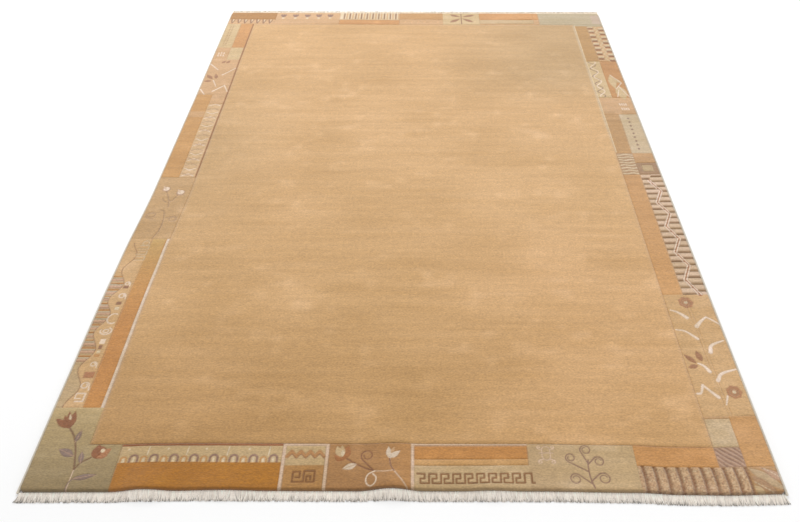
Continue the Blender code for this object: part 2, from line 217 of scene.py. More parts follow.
def place(u, v, z):
    """The same for the pile, whose four corners are drawn in to round them."""
    beside = np.maximum(0, 1 - (HALF_WIDTH - np.abs(u)) / CORNER_ROUND)
    behind = np.maximum(0, 1 - (HALF_LENGTH - np.abs(v)) / CORNER_ROUND)
    pull = CORNER_PULL * CORNER_ROUND * (beside * behind) ** 2 / 1000
    pull = pull * np.where(v > 0, FAR_CORNER_SHARE, 1)
    return lay(u, v, z) - np.column_stack((np.sign(u) * pull, np.sign(v) * pull, 0 * pull))


def pairs(first, second):
    """All pairs of two sets of values, the second running fastest, as two flat arrays."""
    return (part.ravel() for part in np.meshgrid(first, second, indexing="ij"))


def value_noise(u, v, cell_u, cell_v, seed):
    """Smooth noise from 0 to 1 with cells of the given size."""
    lattice = np.random.default_rng(seed).random(NOISE_CELLS)
    across, along = (u + OUT) / cell_u, (v - OUT_NEAR) / cell_v
    i, j = np.floor(across).astype(int), np.floor(along).astype(int)
    s, t = across - i, along - j
    s, t = s * s * (3 - 2 * s), t * t * (3 - 2 * t)

    def corner(step_i, step_j):
        return lattice[(i + step_i) % NOISE_CELLS[0], (j + step_j) % NOISE_CELLS[1]]

    low = corner(0, 0) * (1 - s) + corner(1, 0) * s
    high = corner(0, 1) * (1 - s) + corner(1, 1) * s
    return low * (1 - t) + high * t


def knot_grain(u, v, size, seed):
    """One random value from 0 to 1 for each knot of the given size."""
    grain = np.random.default_rng(seed).random(GRAIN_CELLS)
    i, j = np.floor((u + OUT) / size).astype(int), np.floor((v - OUT_NEAR) / size).astype(int)
    return grain[i % GRAIN_CELLS[0], j % GRAIN_CELLS[1]]


class Design:
    """Dye, with painted shade towards the near end, and carved depth of the pile at the points (u, v) of the
    pattern.
    """

    def __init__(self, u, v):
        self.u = u + WANDER * np.sin(v / 83 + 1.3) * np.sin(u / 57)
        self.v = v + WANDER * np.sin(u / 71 + 0.4) * np.sin(v / 49)
        self.depth = np.zeros(u.size)
        self.dye = np.tile(FIELD, (u.size, 1))
        # Painted shade: the wool darkens towards the near end, most at the left. The other shares make broad
        # lighter and darker areas: lighter in the middle and near the right, darker at the left and the far
        # right.
        near = ramp(v, -650, -1100) * np.clip((600 - u) / 1100, 0.1, 1)
        middle = (0.6 + 0.4 * ramp(u, 50, 550)) * ramp(np.abs(v), 900, 0)
        left = ramp(u, -400, -700) * ramp(np.abs(v - 100), 700, 0)
        near_right = ramp(u, 0, 450) * ramp(v, -200, -500)
        far = ramp(u, 50, 550) * ramp(v, 380, 630)
        whole = slice(None)
        self.shade(whole, near, -0.22, -0.28, -0.42)
        self.shade(whole, middle, 0.10, 0.13, 0.22)
        self.shade(whole, left, -0.13, -0.11, -0.11)
        self.shade(whole, near_right, 0.08, 0.08, 0.14)
        self.shade(whole, far, -0.15, -0.11, -0.08)

    def window(self, left, right, near, far, margin=0.0):
        """Indices of the points in a box and a margin round it."""
        across = (self.u > left - margin) & (self.u < right + margin)
        return np.flatnonzero(across & (self.v > near - margin) & (self.v < far + margin))

    def shade(self, index, share, *change):
        """Raise red, green and blue by these parts of themselves, times the share at each point."""
        self.dye[index] *= 1 + share[:, None] * np.array(change)

    def blend(self, index, share, colour):
        """Mix in a share of another colour."""
        self.dye[index] += share[:, None] * (colour - self.dye[index])

    def carve(self, index, depth):
        """Cut down to a depth, where the pile isn't cut deeper yet."""
        self.depth[index] = np.maximum(self.depth[index], depth)

    def apply(self, index, inside, colour, cut):
        """Dye where inside, the distance in from a shape's outline, is positive, and cut the outline."""
        if colour is not None:
            self.blend(index, np.clip(inside / SOFT_EDGE + 0.5, 0, 1), colour)
        fall = np.clip(1 - np.abs(inside) / cut.half_width, 0, 1)
        self.carve(index, cut.depth * fall * fall * (3 - 2 * fall))

    def block(self, left, right, near, far, colour, cut=SEAM):
        """Rectangle."""
        index = self.window(left, right, near, far, SHAPE_MARGIN)
        across = np.minimum(self.u[index] - left, right - self.u[index])
        along = np.minimum(self.v[index] - near, far - self.v[index])
        self.apply(index, np.minimum(across, along), colour, cut)

    def line(self, points, colour, width, tip=None, cut=FINE):
        """Stroke through points, as wide as width at its start and tip at its end."""
        points = np.array(points, dtype=float)
        tip = width if tip is None else tip
        reach = max(width, tip) / 2
        low, high = points.min(axis=0) - reach, points.max(axis=0) + reach
        index = self.window(low[0], high[0], low[1], high[1], SHAPE_MARGIN)
        u, v = self.u[index], self.v[index]
        runs = np.diff(points, axis=0)
        lengths = np.hypot(*runs.T)
        travelled = np.concatenate(([0], np.cumsum(lengths)))
        inside = np.full(index.size, -1e9)
        for (start_u, start_v), (run_u, run_v), length, before in zip(points, runs, lengths, travelled):
            part = ((u - start_u) * run_u + (v - start_v) * run_v) / max(length, 1e-6) ** 2
            part = np.clip(part, 0, 1)
            away = np.hypot(u - start_u - part * run_u, v - start_v - part * run_v)
            share = (before + part * length) / travelled[-1]
            inside = np.maximum(inside, (width + (tip - width) * share) / 2 - away)
        self.apply(index, inside, colour, cut)

    def leaf(self, base, tip, width, colour, cut=FINE, belly=0.45):
        """Pointed leaf or petal, widest at the share belly of its length."""
        (u0, v0), (u1, v1) = base, tip
        reach = width + SHAPE_MARGIN
        index = self.window(min(u0, u1), max(u0, u1), min(v0, v1), max(v0, v1), reach)
        u, v = self.u[index] - u0, self.v[index] - v0
        run_u, run_v = u1 - u0, v1 - v0
        part = np.clip((u * run_u + v * run_v) / (run_u**2 + run_v**2), 0, 1)
        away = np.hypot(u - part * run_u, v - part * run_v)
        swelling = np.sin(math.pi * part ** (math.log(0.5) / math.log(belly)))
        self.apply(index, width / 2 * swelling**1.1 - away, colour, cut)

    def leaves(self, colour, rows, cut=FINE, belly=0.45):
        """Leaves of one colour, each with its base, tip and width."""
        for base, tip, width in rows:
            self.leaf(base, tip, width, colour, cut, belly)

    def disc(self, centre, radius, colour, cut=FINE, squash=1.0, lobes=0):
        """Round or lobed spot; squash is its height over its width."""
        index = self.window(centre[0], centre[0], centre[1], centre[1], radius + SHAPE_MARGIN)
        u, v = self.u[index] - centre[0], (self.v[index] - centre[1]) / squash
        rim = radius * (1 + (0.07 * np.cos(lobes * np.arctan2(v, u)) if lobes else 0))
        self.apply(index, rim - np.hypot(u, v), colour, cut)

    def mottle(self, left, right, near, far, colour, size, amount, seed):
        """Mix a second dye in, knot by knot, over a rectangle."""
        index = self.window(left, right, near, far)
        self.blend(index, amount * knot_grain(self.u[index], self.v[index], size, seed) ** 2, colour)


def curve(points, steps=6):
    """Smooth curve through points."""
    points = np.array(points, dtype=float)
    ends = np.vstack((2 * points[0] - points[1], points, 2 * points[-1] - points[-2]))
    found = [points[0]]
    for a, b, c, d in zip(ends, ends[1:], ends[2:], ends[3:]):
        for step in range(1, steps + 1):
            t = step / steps
            bend, twist = 2 * a - 5 * b + 4 * c - d, 3 * b - a - 3 * c + d
            found.append(0.5 * (2 * b + (c - a) * t + bend * t**2 + twist * t**3))
    return np.array(found)


def tendril(start, centre, radius, spin, turns=1.15):
    """Straight lead from start into a shrinking spiral about centre; spin 1 is anticlockwise."""
    away_u, away_v = start[0] - centre[0], start[1] - centre[1]
    distance = max(math.hypot(away_u, away_v), radius * 1.001)
    angle = math.atan2(away_v, away_u) + spin * math.acos(radius / distance)
    points = [start]
    for step in range(25):
        part = step / 24
        turn = angle + spin * math.tau * turns * part
        reach = radius * (1 - 0.5 * part)
        points.append((centre[0] + reach * math.cos(turn), centre[1] + reach * math.sin(turn)))
    return points


def arc(centre, radius, start, stop, squash=1.0, steps=14):
    """Points of an arc between two angles in degrees."""
    turns = np.radians(np.linspace(start, stop, steps))
    return np.column_stack((centre[0] + radius * np.cos(turns), centre[1] + radius * squash * np.sin(turns)))


def fret(origin, size, chart):
    """Points of a square-cornered chart, from shares of a cell to pattern millimetres."""
    return [(origin[0] + size[0] * across, origin[1] + size[1] * along) for across, along in chart]


# One repeat of the running key, and the double square spiral, charted in shares of their cells
KEY_CHART = ((0, 1), (0.62, 1), (0.62, 0.5), (0.27, 0.5), (0.27, 0), (1, 0), (1, 1))
SPIRAL_CHART = (
    (0.13, 0.40), (0.32, 0.40), (0.32, 0.92), (0, 0.92), (0, 0), (0.51, 0), (0.51, 1),
    (1, 1), (1, 0), (0.64, 0), (0.64, 0.52), (0.83, 0.52), (0.83, 0.20),
)


def near_left_corner(rug):
    """Khaki corner with two tulips on one stem."""
    rug.block(-OUT, -654, OUT_NEAR, NEAR_INNER, KHAKI)
    rug.block(-OUT, LEFT_INNER, NEAR_INNER, COLUMN_NEAR, KHAKI)
    inner = rug.window(-OUT, LEFT_INNER - SEAM.half_width, NEAR_INNER - 5, NEAR_INNER + 5)
    rug.dye[inner] = KHAKI
    rug.depth[inner] = 0

    index = rug.window(-OUT, -654, OUT_NEAR, COLUMN_NEAR)
    index = index[(rug.u[index] < LEFT_INNER) | (rug.v[index] < NEAR_INNER)]
    rug.dye[index] *= 0.9 + 0.62 * ramp(rug.v[index], -HALF_LENGTH, COLUMN_NEAR)[:, None] ** 1.35
    fork = (-747, -1150)
    stem = curve(((-795, -1042), (-777, -1064), (-764, -1091), (-755, -1119), fork))
    rug.line(stem, STEM_BROWN * 0.85, 3.8)
    rug.line((fork, (-748, -1215)), PINK_WHITE, 2.4)
    rug.line(curve((fork, (-738, -1134), (-718, -1120))), STEM_BROWN * 0.85, 3.2)
    for base, tip, width in (
        ((-769, -1080), (-764, -1046), 11), ((-760, -1116), (-801, -1097), 18),
        ((-738, -1134), (-744, -1104), 11), ((-744, -1174), (-690, -1164), 12),
    ):
        rug.leaf(base, tip, width + 2, LEAF_GREY)
        rug.line((base, tip), MAUVE, 1.6, 0.6, NO_CUT)

    rug.line(curve(((-750, -1204), (-749, -1184), (-742, -1174))), LEAF_GREY, 2.4)

    bottom = (-796, -1043)
    rug.leaf(bottom, (-837, -1016), 17, RUST, belly=0.5)
    rug.leaves(RUST, ((bottom, (-820, -1006), 15), (bottom, (-812, -995), 17), (bottom, (-797, -994), 18)))
    rug.leaf((-800, -1026), (-807, -1003), 6, CREAM, NO_CUT)
    rug.disc((-805, -1030), 12, RUST, NO_CUT)

    rug.disc((-704, -1107), 17, RUST, squash=0.95)
    rug.leaf((-712, -1112), (-707, -1085), 15, RUST)
    rug.leaves(TERRACOTTA, (((-700, -1116), (-677, -1097), 17), ((-706, -1120), (-681, -1115), 12)))
    rug.disc((-696, -1103), 5, CREAM, NO_CUT)


def arcade(rug):
    """Row of arches over a deep orange panel."""
    left, right, foot = -654, -279.5, -1135
    rug.block(left, right, OUT_NEAR, NEAR_INNER, ARCH_GREEN)
    rug.line(((left + 2, -1089), (right - 2, -1089)), RUST * 1.2, 6.0, cut=SEAM)
    for place_u in (-590, -500, -406, -310):
        rug.line(((place_u + 1, -1095), (place_u - 1, -1116)), CREAM, 3.0)
    for place_u in (-635, -545, -457, -357):
        rug.disc((place_u, -1101), 2.6, CREAM, NO_CUT)
    small, big = (6.6, -1127, ORANGE, 3.4, 7.0), (8.7, -1125, DARK_MAUVE, 5.0, 6.0)
    for count in range(16):
        middle = -642 + count * 22.9
        radius, rise, colour, width, core = big if count % 2 else small
        legs = ((middle - radius, foot), *arc((middle, rise), radius, 180, 0), (middle + radius, foot))
        rug.leaf((middle, foot - radius), (middle, rise + radius), radius * 1.7, PALE_GREEN, NO_CUT)
        rug.line(legs, colour, width)
        rug.line(((middle, foot + 1), (middle, rise)), CREAM, core, 4.0, NO_CUT)
    rug.block(left, right, OUT_NEAR, foot, DEEP_ORANGE, NO_CUT)


def framed_block(rug):
    """Cream frame with a zigzag over a square spiral."""
    left, right = -279.5, -172
    rug.block(left, right, OUT_NEAR, NEAR_INNER, PINK_WHITE * 0.93)
    rug.block(left + 8, right - 8, OUT_NEAR, -1092, ARCH_GREEN)
    rug.block(left + 8, right - 8, OUT_NEAR, -1143, tint(NEAR_TAN, 1.04, 1.04, 0.85), NO_CUT)
    pitch = 21.4
    turns = [(left + 11 + pitch / 2 * step, -1120 + 13 * (step % 2)) for step in range(9)]
    rug.line(turns, ZIGZAG_TAN, 8.5)
    lower = [(place_u + 1.5, place_v - 6.5) for place_u, place_v in turns]
    rug.line(lower, BROWN, 1.6, cut=NO_CUT)
    rug.line(fret((-249, -1184), (49, 27), SPIRAL_CHART), tint(KEY_BROWN, 0.88, 0.75, 0.48), 4.1)


def tulip_panel(rug):
    """Tan panel with two cream tulips, a curl and a loop on crossing stems."""
    left, right = -172, 18
    rug.block(left, right, OUT_NEAR, NEAR_INNER, NEAR_TAN)
    # Painted light: the panel's right part, over the near end's highest wave, is made lighter
    index = rug.window(-70, 18, OUT_NEAR, NEAR_INNER)
    rug.shade(index, ramp(rug.u[index], -70, 10), 0.15, 0.13, 0.05)
    meeting = (-64, -1159)
    rug.line(curve(((-130, -1126), (-105, -1141), (-82, -1152), meeting)), STEM_RED, 2.7)
    rug.line(tendril((-69, -1155), (-83, -1118), 15, -1), STEM_RED, 2.8, 2.0)
    rug.line(curve((meeting, (-40, -1161), (-20, -1158))), PINK_WHITE, 2.2)
    loop = ((-78, -1166), (-83, -1178), (-80, -1190), (-71, -1196), (-62, -1189), (-60, -1176), (-68, -1166))
    rug.line(curve((meeting, *loop)), WHITE_WOOL, 2.9)
    rug.line(curve(((-31, -1127), (-28, -1146), (-17, -1164), (0, -1186), (10, -1202))), PINK_WHITE, 3.0)
    rug.line(curve(((-32, -1124), (-28, -1146), (-20, -1160))), STEM_RED, 2.6)

    cup = (-137, -1128)
    rug.leaves(CUP_BROWN, ((cup, (-128, -1090), 22), (cup, (-160, -1118), 20)))
    rug.disc((-143, -1119), 13, CUP_BROWN, NO_CUT)
    rug.leaf((-144, -1122), (-155, -1092), 17, PALE_GREEN)
    rug.leaf((-141, -1122), (-143, -1090), 14, PALE_GREEN, NO_CUT)
    rug.leaf((-140, -1120), (-141, -1102), 9, CREAM, NO_CUT)
    rug.leaf((-106, -1140), (-139, -1153), 15, TULIP_GREY)
    rug.line(((-106, -1140), (-136, -1152)), PALE_BROWN, 1.5, 0.8, NO_CUT)

    rug.leaves(TULIP_GREY, (((-33, -1126), (-35, -1095), 13), ((-32, -1126), (-7, -1106), 13)))
    rug.disc((-29, -1119), 7, TULIP_GREY, NO_CUT)
    rug.leaf((-29, -1114), (-21, -1096), 8, PINK_TAN)


def key_panel(rug):
    """Orange and tan bars over a running key."""
    left, right = 18, 534.5
    rug.block(left, right, OUT_NEAR, NEAR_INNER, PALE_GREEN)
    rug.block(left, 287, -1092, NEAR_INNER, PINK_WHITE)
    rug.block(left, 25.5, OUT_NEAR, NEAR_INNER, PINK_WHITE)
    rug.block(25, 287, -1126, -1091, NEAR_ORANGE)
    rug.block(25, 287, -1142, -1126, tint(TAN, 1.05, 1.02, 0.84))
    pitch = 27.0
    points = []
    for count in range(9):
        points += fret((32 + count * pitch, -1186), (pitch, 23), KEY_CHART)
    points += fret((32 + 9 * pitch, -1186), (pitch, 23), ((0, 1), (0.6, 1), (0.6, 0), (0.8, 0)))
    rug.line(points, KEY_BROWN, 4.4)


def scroll_panel(rug):
    """A small frame ornament, and a plant of five scrolls."""
    middle, pale = 330, PINK_WHITE * 1.06
    hoops = *arc((middle, -1102), 9.5, 0, 180), *arc((middle, -1119), 9.5, 180, 360), (middle + 9.5, -1102)
    rug.line(hoops, pale, 2.4)
    rug.line(((314, -1110), (346, -1110)), pale, 2.2)
    index = rug.window(287, 420, OUT_NEAR, NEAR_INNER)
    rug.shade(index, ramp(rug.u[index], 420, 300), -0.10, -0.12, -0.13)
    for side in (-1, 1):
        rug.line(tendril((middle + side * 9, -1101), (middle + side * 16, -1095), 4.5, side), pale, 2.2)
        rug.line(tendril((middle + side * 8, -1126), (middle + side * 15, -1133), 5, -side), pale, 2.2)

    stem = curve(((429, -1196), (424, -1176), (422, -1150), (425, -1126)))
    rug.line(stem, DARK_MAUVE, 3.4, 2.6)
    for start, centre, radius, spin in (
        ((425, -1186), (390, -1175), 13.5, 1), ((424, -1180), (454, -1172), 14.5, -1),
        ((422, -1156), (385, -1122), 12.0, -1), ((423, -1134), (423, -1100), 13.0, -1),
        ((425, -1136), (449, -1129), 12.5, -1),
    ):
        rug.line(tendril(start, centre, radius, spin, 1.3), DARK_MAUVE, 3.0, 2.0)


def rib_panel(rug):
    """Orange bar over carved ribs."""
    left, right, top = 534.5, 785, -1138
    rug.block(left, right, OUT_NEAR, top, tint(PALE_GREEN, 1.09, 1.0, 1.06))
    rug.mottle(left, right, OUT_NEAR, top - 1, CREAM, 3.1, 0.6, 3)
    rug.mottle(left, right, OUT_NEAR, top - 1, BROWN, 3.1, 0.7, 4)
    index = rug.window(left, right, OUT_NEAR, top)
    bend = 2.4 * np.sin((rug.v[index] - top) / 24) + 1.5 * np.sin(rug.u[index] / 40)
    pitch = 26.0
    across = (rug.u[index] + bend - 547.2 + pitch / 2) % pitch - pitch / 2
    fall = np.clip(1 - np.abs(across) / RIB.half_width, 0, 1)
    rug.carve(index, RIB.depth * fall * (2 - fall))
    rug.blend(index, 0.68 * fall, RUST)
    rug.block(left, RIGHT_INNER, top, NEAR_INNER, tint(ORANGE, 1.04, 1.06, 1.12))


def near_right_corner(rug):
    """Hatched mauve square, pale square, orange outer strip and a corner of leaf bands."""
    rug.block(785, OUT, -1138, -1001, SOFT_ORANGE)
    rug.block(RIGHT_INNER, 785, NEAR_INNER, -1007, tint(GREY_GREEN, 0.97, 0.98, 1.08))
    rug.block(RIGHT_INNER, 785, -1007, -1001, PINK_TAN, NO_CUT)
    rug.block(RIGHT_INNER, 785, -1138, NEAR_INNER, tint(MAUVE, 0.94, 0.94, 1.02))
    index = rug.window(RIGHT_INNER + 1.5, 783.5, -1136.5, NEAR_INNER - 1.5)
    run_u, run_v = 784 - RIGHT_INNER - 2, -56
    for count in range(-2, 6):
        beside, above = rug.u[index] - RIGHT_INNER - 2, rug.v[index] + 1104 - 13.5 * count
        away = (beside * run_v - above * run_u) / math.hypot(run_u, run_v)
        away = away + 2.2 * np.sin(rug.u[index] / 12)
        fall = np.clip(1 - np.abs(away) / 3.2, 0, 1)
        rug.carve(index, 2.2 * fall)
        rug.blend(index, 0.42 * fall, DARK_MAUVE)
        rug.blend(index, 0.28 * np.clip(1 - np.abs(away - 5.2) / 2.4, 0, 1), PINK_WHITE)

    rug.block(785, OUT, OUT_NEAR, -1138, TAN * 0.88)
    rug.leaf((787, -1141), (858, -1199), 24, tint(GREY_GREEN, 0.86, 0.84, 0.92))
    rug.leaf((812, -1138), (862, -1176), 20, MAUVE, belly=0.6)
    rug.leaf((786, -1160), (835, -1208), 22, PALE_BROWN)
    rug.leaf((786, -1184), (806, -1210), 16, PALE_GREEN)
    for start in ((822, -1143), (790, -1176)):
        for step in range(6):
            at = (start[0] + 6.2 * step, start[1] - 4.6 * step)
            rug.line((at, (at[0] + 3, at[1] - 2.2)), CREAM, 2.2, cut=NO_CUT)


def flower(rug, centre, radius, colour):
    """Rosette with a pale centre."""
    rug.disc(centre, radius, colour, lobes=7)
    rug.line(arc(centre, radius * 0.55, 0, 360), PALE_BROWN, 2.0)
    rug.disc(centre, radius * 0.26, CREAM, NO_CUT)


def right_leaf_block(rug):
    """Tan block with a carved stem, pale strokes and brown rosettes."""
    rug.block(RIGHT_INNER, OUT, -1001, STAVES_NEAR, LEAF_TAN)
    for side in (-4, 4):
        stem = ((791 + side, -1001), (787 + side, -873), (783 + side, STAVES_NEAR))
        rug.line(curve(stem), None, 0.2, cut=Cut(2.2, 1.6))
    flower(rug, (780, -627), 20, BROWN * 1.55)
    flower(rug, (821, -932), 19, BROWN * 1.55)
    rug.line(((801, -943), (791, -968)), WHITE_WOOL, 5, 3)
    for width, tip, *points in (
        (4, 11, (730, -654), (749, -663), (768, -682)), (12, 5, (786, -714), (802, -697), (820, -682)),
        (5, 5, (820, -682), (836, -695), (850, -709)), (4, 8, (727, -725), (752, -732), (777, -759)),
        (11, 4, (798, -805), (807, -782), (843, -766)), (4, 10, (755, -841), (768, -850), (778, -868)),
        (10, 4, (791, -896), (807, -875), (848, -861)), (5, 7, (727, -934), (738, -932), (748, -909)),
        (5, 9, (748, -909), (763, -928), (778, -946)),
    ):
        rug.line(curve(points), WHITE_WOOL, width, tip)
    rows = ((751, -841), (725, -810), 14), ((767, -836), (760, -799), 17), ((753, -848), (726, -855), 14)
    rug.leaves(BROWN * 1.25, rows)


# Length along the rug of each straight run of the staves' zigzag
ZIGZAG_STEP = 58.8


def zigzag_at(v):
    """Middle of the zigzag up the staves, which starts at its right turn."""
    return 803.5 + 26.0 * np.abs(((v - STAVES_NEAR) / ZIGZAG_STEP) % 2 - 1)


def staves(rug):
    """Orange column beside carved staves, parted by a double zigzag."""
    near, far = STAVES_NEAR, -34
    rug.block(RIGHT_INNER, RIGHT_MIDDLE, near, far, SOFT_ORANGE)
    index = rug.window(RIGHT_INNER, RIGHT_MIDDLE, near, far)
    rug.dye[index] *= (1.05 - 0.13 * ramp(rug.v[index], near, far))[:, None]
    rug.block(RIGHT_MIDDLE, OUT, near, far, PINK_TAN)
    pitch = 26.8
    for side, offset in ((-1, 0.0), (1, pitch / 2)):
        index = rug.window(RIGHT_MIDDLE + 1, OUT, near, far)
        middle = zigzag_at(rug.v[index])
        index = index[(rug.u[index] - middle) * side > 0]
        along = (rug.v[index] - near - offset) / pitch
        part = along % 1
        crown = 0.5 - 0.5 * np.cos(math.tau * (part - 0.08))
        rug.dye[index] = PALE_BROWN * 0.8
        rug.blend(index, np.clip(1.25 * crown, 0, 1), PINK_WHITE)
        rug.blend(index, 0.35 * (0.5 + 0.5 * np.sin(2.1 * np.floor(along))), PALE_GREEN)
        fall = np.clip(1 - np.minimum(part, 1 - part) * pitch / STAVE.half_width, 0, 1)
        rug.carve(index, STAVE.depth * fall)
    turns = [(zigzag_at(v), v) for v in np.arange(near, far + 1, ZIGZAG_STEP)]
    rug.line(turns, TERRACOTTA, 13, cut=SEAM)
    for side in (-4.4, 4.4):
        rug.line([(u + side, v) for u, v in turns], WHITE_WOOL, 4.0, cut=NO_CUT)


def right_middle(rug):
    """Small blocks half-way up the right border."""
    rug.block(RIGHT_INNER, RIGHT_MIDDLE, -34, 88, PALE_BROWN)
    for count in range(8):
        base = -28 + 15.2 * count
        wave = [(u, base + 2.2 * math.sin(u / 7 + count)) for u in range(726, 779, 4)]
        rug.line(wave, CREAM, 6.0)
    rug.block(RIGHT_MIDDLE, OUT, -34, 32, PALE_BROWN * 0.85)
    rug.block(797, 834.5, -17.5, 17.5, PALE_GREEN * 0.9)
    rug.block(RIGHT_MIDDLE, OUT, 32, 88, TAN)
    rug.block(RIGHT_INNER, RIGHT_MIDDLE, 88, 340, tint(SOFT_ORANGE, 0.83, 0.88, 0.92))
    rug.block(RIGHT_MIDDLE, OUT, 88, 340, tint(GREY_GREEN, 0.97, 1.03, 1.24))
    for count in range(9):
        middle = 115 + 24.6 * count
        rug.leaf((809, middle - 6), (811, middle + 6), 9, DARK_MAUVE)
    rug.block(RIGHT_INNER, OUT, 340, 460, PINK_TAN)
    for row, place_v in enumerate((410, 378)):
        for step in range(4):
            at = 800 + 8 * step + 3 * row
            rug.line(((at, place_v - 7), (at - 2, place_v + 7)), WHITE_WOOL, 4.8, 3.6)


def right_upper(rug):
    """Blocks of the right border's far third."""
    rug.block(RIGHT_INNER, RIGHT_MIDDLE, 460, 748, GREY_GREEN)
    swing = [(744 + 13 * math.sin((v - 460) / 9.5), v) for v in range(466, 744, 3)]
    rug.line(swing, DARK_MAUVE, 3.6)
    swing = [(748 - 12 * math.sin((v - 452) / 12), v) for v in range(466, 744, 3)]
    rug.line(swing, WHITE_WOOL, 4.0, cut=NO_CUT)
    rug.block(RIGHT_MIDDLE, OUT, 460, 748, ORANGE * 0.9)
    rows = ((803, 634), (806, 524), 30), ((808, 606), (840, 568), 22), ((822, 548), (826, 440), 44)
    rug.leaves(GREY_GREEN, rows)
    for points in (((803, 636), (839, 572), (808, 526)), ((823, 545), (849, 464)), ((818, 520), (803, 466))):
        rug.line(points, WHITE_WOOL, 3.4)

    rug.block(RIGHT_INNER, RIGHT_MIDDLE, 748, 1084, tint(SOFT_ORANGE, 0.79, 0.81, 0.66))
    rug.block(RIGHT_MIDDLE, OUT, 748, 1070, PINK_TAN)
    pitch = 39.5
    for left, right, first in ((782, 806, 774), (828, OUT, 757)):
        for middle in np.arange(first, 1066, pitch):
            rug.block(left, right, middle - 8, middle + 6, BROWN * 1.25, STAVE)
            rug.block(left, right, middle + 6, middle + 16, CREAM, NO_CUT)
    path = [(817 + 7 * (-1) ** step, 752 + pitch / 2 * step) for step in range(17)]
    rug.line(path, GREY_GREEN, 8)


def far_border(rug):
    """Blocks along the far end."""
    rug.block(-OUT, 569, FAR_INNER, OUT_FAR, TAN)
    rug.block(544, OUT, FAR_INNER, OUT_FAR, DULL_GREEN)
    rug.block(RIGHT_INNER, OUT, 1070, OUT_FAR, DULL_GREEN, NO_CUT)
    rug.block(RIGHT_MIDDLE + 2, OUT, 1068, 1072, GREY_GREEN, SEAM)
    rug.block(812, OUT, 1092, 1180, tint(DULL_GREEN, 1.06, 0.99, 1.15), NO_CUT)

    rug.block(-OUT, -640, FAR_INNER, OUT_FAR, tint(ORANGE, 0.68, 0.65, 0.42))
    rug.block(-OUT, -640, FAR_INNER, 1132, PINK_TAN)
    for count in range(7):
        middle = -840 + 28.7 * count
        rug.line(((middle, 1126), (middle + 6, 1092)), BROWN, 7, 5)
        rug.line(((middle + 16, 1126), (middle + 6, 1092)), BROWN, 4, 5)
        rug.line(((middle + 8, 1128), (middle + 7, 1104)), CREAM, 5, 2, NO_CUT)

    rug.block(-640, -346, FAR_INNER, OUT_FAR, PINK_TAN)
    for middle in (-607, -552, -497, -445, -392):
        for lean in (-12, 0, 12):
            rug.leaf((middle, 1154), (middle + lean, 1187), 13, DARK_MAUVE)
        rug.leaf((middle, 1156), (middle, 1136), 14, CREAM)

    rug.block(-346, -71, FAR_INNER, 1132, ORANGE)
    rug.block(-346, -71, 1132, OUT_FAR, CREAM)
    for count in range(10):
        middle = -326 + 26.4 * count
        rug.line(((middle, 1140), (middle, 1196)), BROWN, 6.5)
        rug.line(((middle + 13, 1140), (middle + 13, 1196)), PINK_TAN, 7, cut=NO_CUT)

    rug.block(-71, 129, FAR_INNER, OUT_FAR, PINK_TAN)
    rug.block(-71, 129, 1136, OUT_FAR, tint(ORANGE, 0.89, 0.97, 1.02))
    for count in range(6):
        rug.leaf((-48 + 30 * count, 1100), (-40 + 30 * count, 1120), 9, PINK_TAN * 1.2)

    rug.block(129, 297, FAR_INNER, OUT_FAR, GREY_GREEN)
    rug.line(((213, 1090), (213, 1196)), BROWN, 4)
    high, low = (213, 1160), (213, 1150)
    rows = (high, (162, 1186), 18), (low, (160, 1105), 20), (high, (276, 1184), 18), (low, (268, 1108), 20)
    rug.leaves(BROWN * 1.2, rows, belly=0.6)

    rug.block(297, 569, FAR_INNER, OUT_FAR, PINK_TAN)
    rug.block(297, 544, 1095, 1132, PALE_GREEN)
    rug.block(297, 569, 1136, OUT_FAR, ORANGE)


def left_upper(rug):
    """Blocks of the left border's far third."""
    rug.block(-OUT, LEFT_MIDDLE, 859, FAR_INNER, GREY_GREEN)
    for side in (-5, 5):
        for count in range(13):
            rug.disc((-826 + side, 880 + 15 * count), 2.8, BROWN * 1.25)
    rug.block(LEFT_MIDDLE, LEFT_INNER, 859, FAR_INNER, ORANGE)
    rug.block(-OUT, LEFT_INNER, 473, 859, PINK_TAN)
    rug.block(LEFT_MIDDLE, LEFT_INNER, 754, 859, GREY_GREEN)
    for row in range(2):
        for step in range(3):
            at = (-832 + 11 * step, 783 + 20 * row + 4 * (step % 2))
            rug.line((at, (at[0] - 2, at[1] + 12)), WHITE_WOOL, 5.5, 4)
    for base in (-803, -784):
        rug.leaf((base, 723), (base + 13, 745), 14, BROWN * 1.3)
    rows = ((-817, 592), (-846, 628), 17), ((-802, 595), (-810, 634), 14), ((-817, 576), (-850, 576), 15)
    rug.leaves(BROWN * 1.25, rows)
    for points, width in (
        (((-847, 715), (-808, 668)), 6), (((-783, 626), (-738, 682)), 6), (((-811, 582), (-791, 534)), 5),
        (((-797, 498), (-758, 543), (-738, 496)), 7), (((-847, 512), (-819, 465)), 6),
    ):
        rug.line(points, WHITE_WOOL, width, width * 0.6)


def lattice_block(rug):
    """Orange column beside a pale lattice of broken lines."""
    rug.block(-OUT, LEFT_MIDDLE, -60, 473, tint(ORANGE, 0.97, 1.05, 1.06))
    rug.block(-OUT, LEFT_MIDDLE - 1, 312, 352, tint(PINK_TAN, 1.0, 0.97, 0.9), NO_CUT)
    rug.block(LEFT_MIDDLE, LEFT_INNER, 405, 473, PINK_TAN)
    rug.block(LEFT_MIDDLE, LEFT_INNER, -60, 405, tint(PINK_TAN, 1.08, 1.18, 1.26))
    for count in range(31):
        low = -52 + 14.8 * count
        tone = (WHITE_WOOL, MAUVE, PALE_GREEN)[count % 3]
        lean = 12 * (-1) ** count
        rug.line(((-784, low), (-764, low + lean), (-744, low)), tone, 3.4)
        rug.disc((-764 + lean / 2, low + 6), 2.2, MAUVE, NO_CUT)
    rug.block(-736.5, LEFT_INNER, -63, 1080, tint(BROWN, 1.15, 1.08, 0.8), NO_CUT)


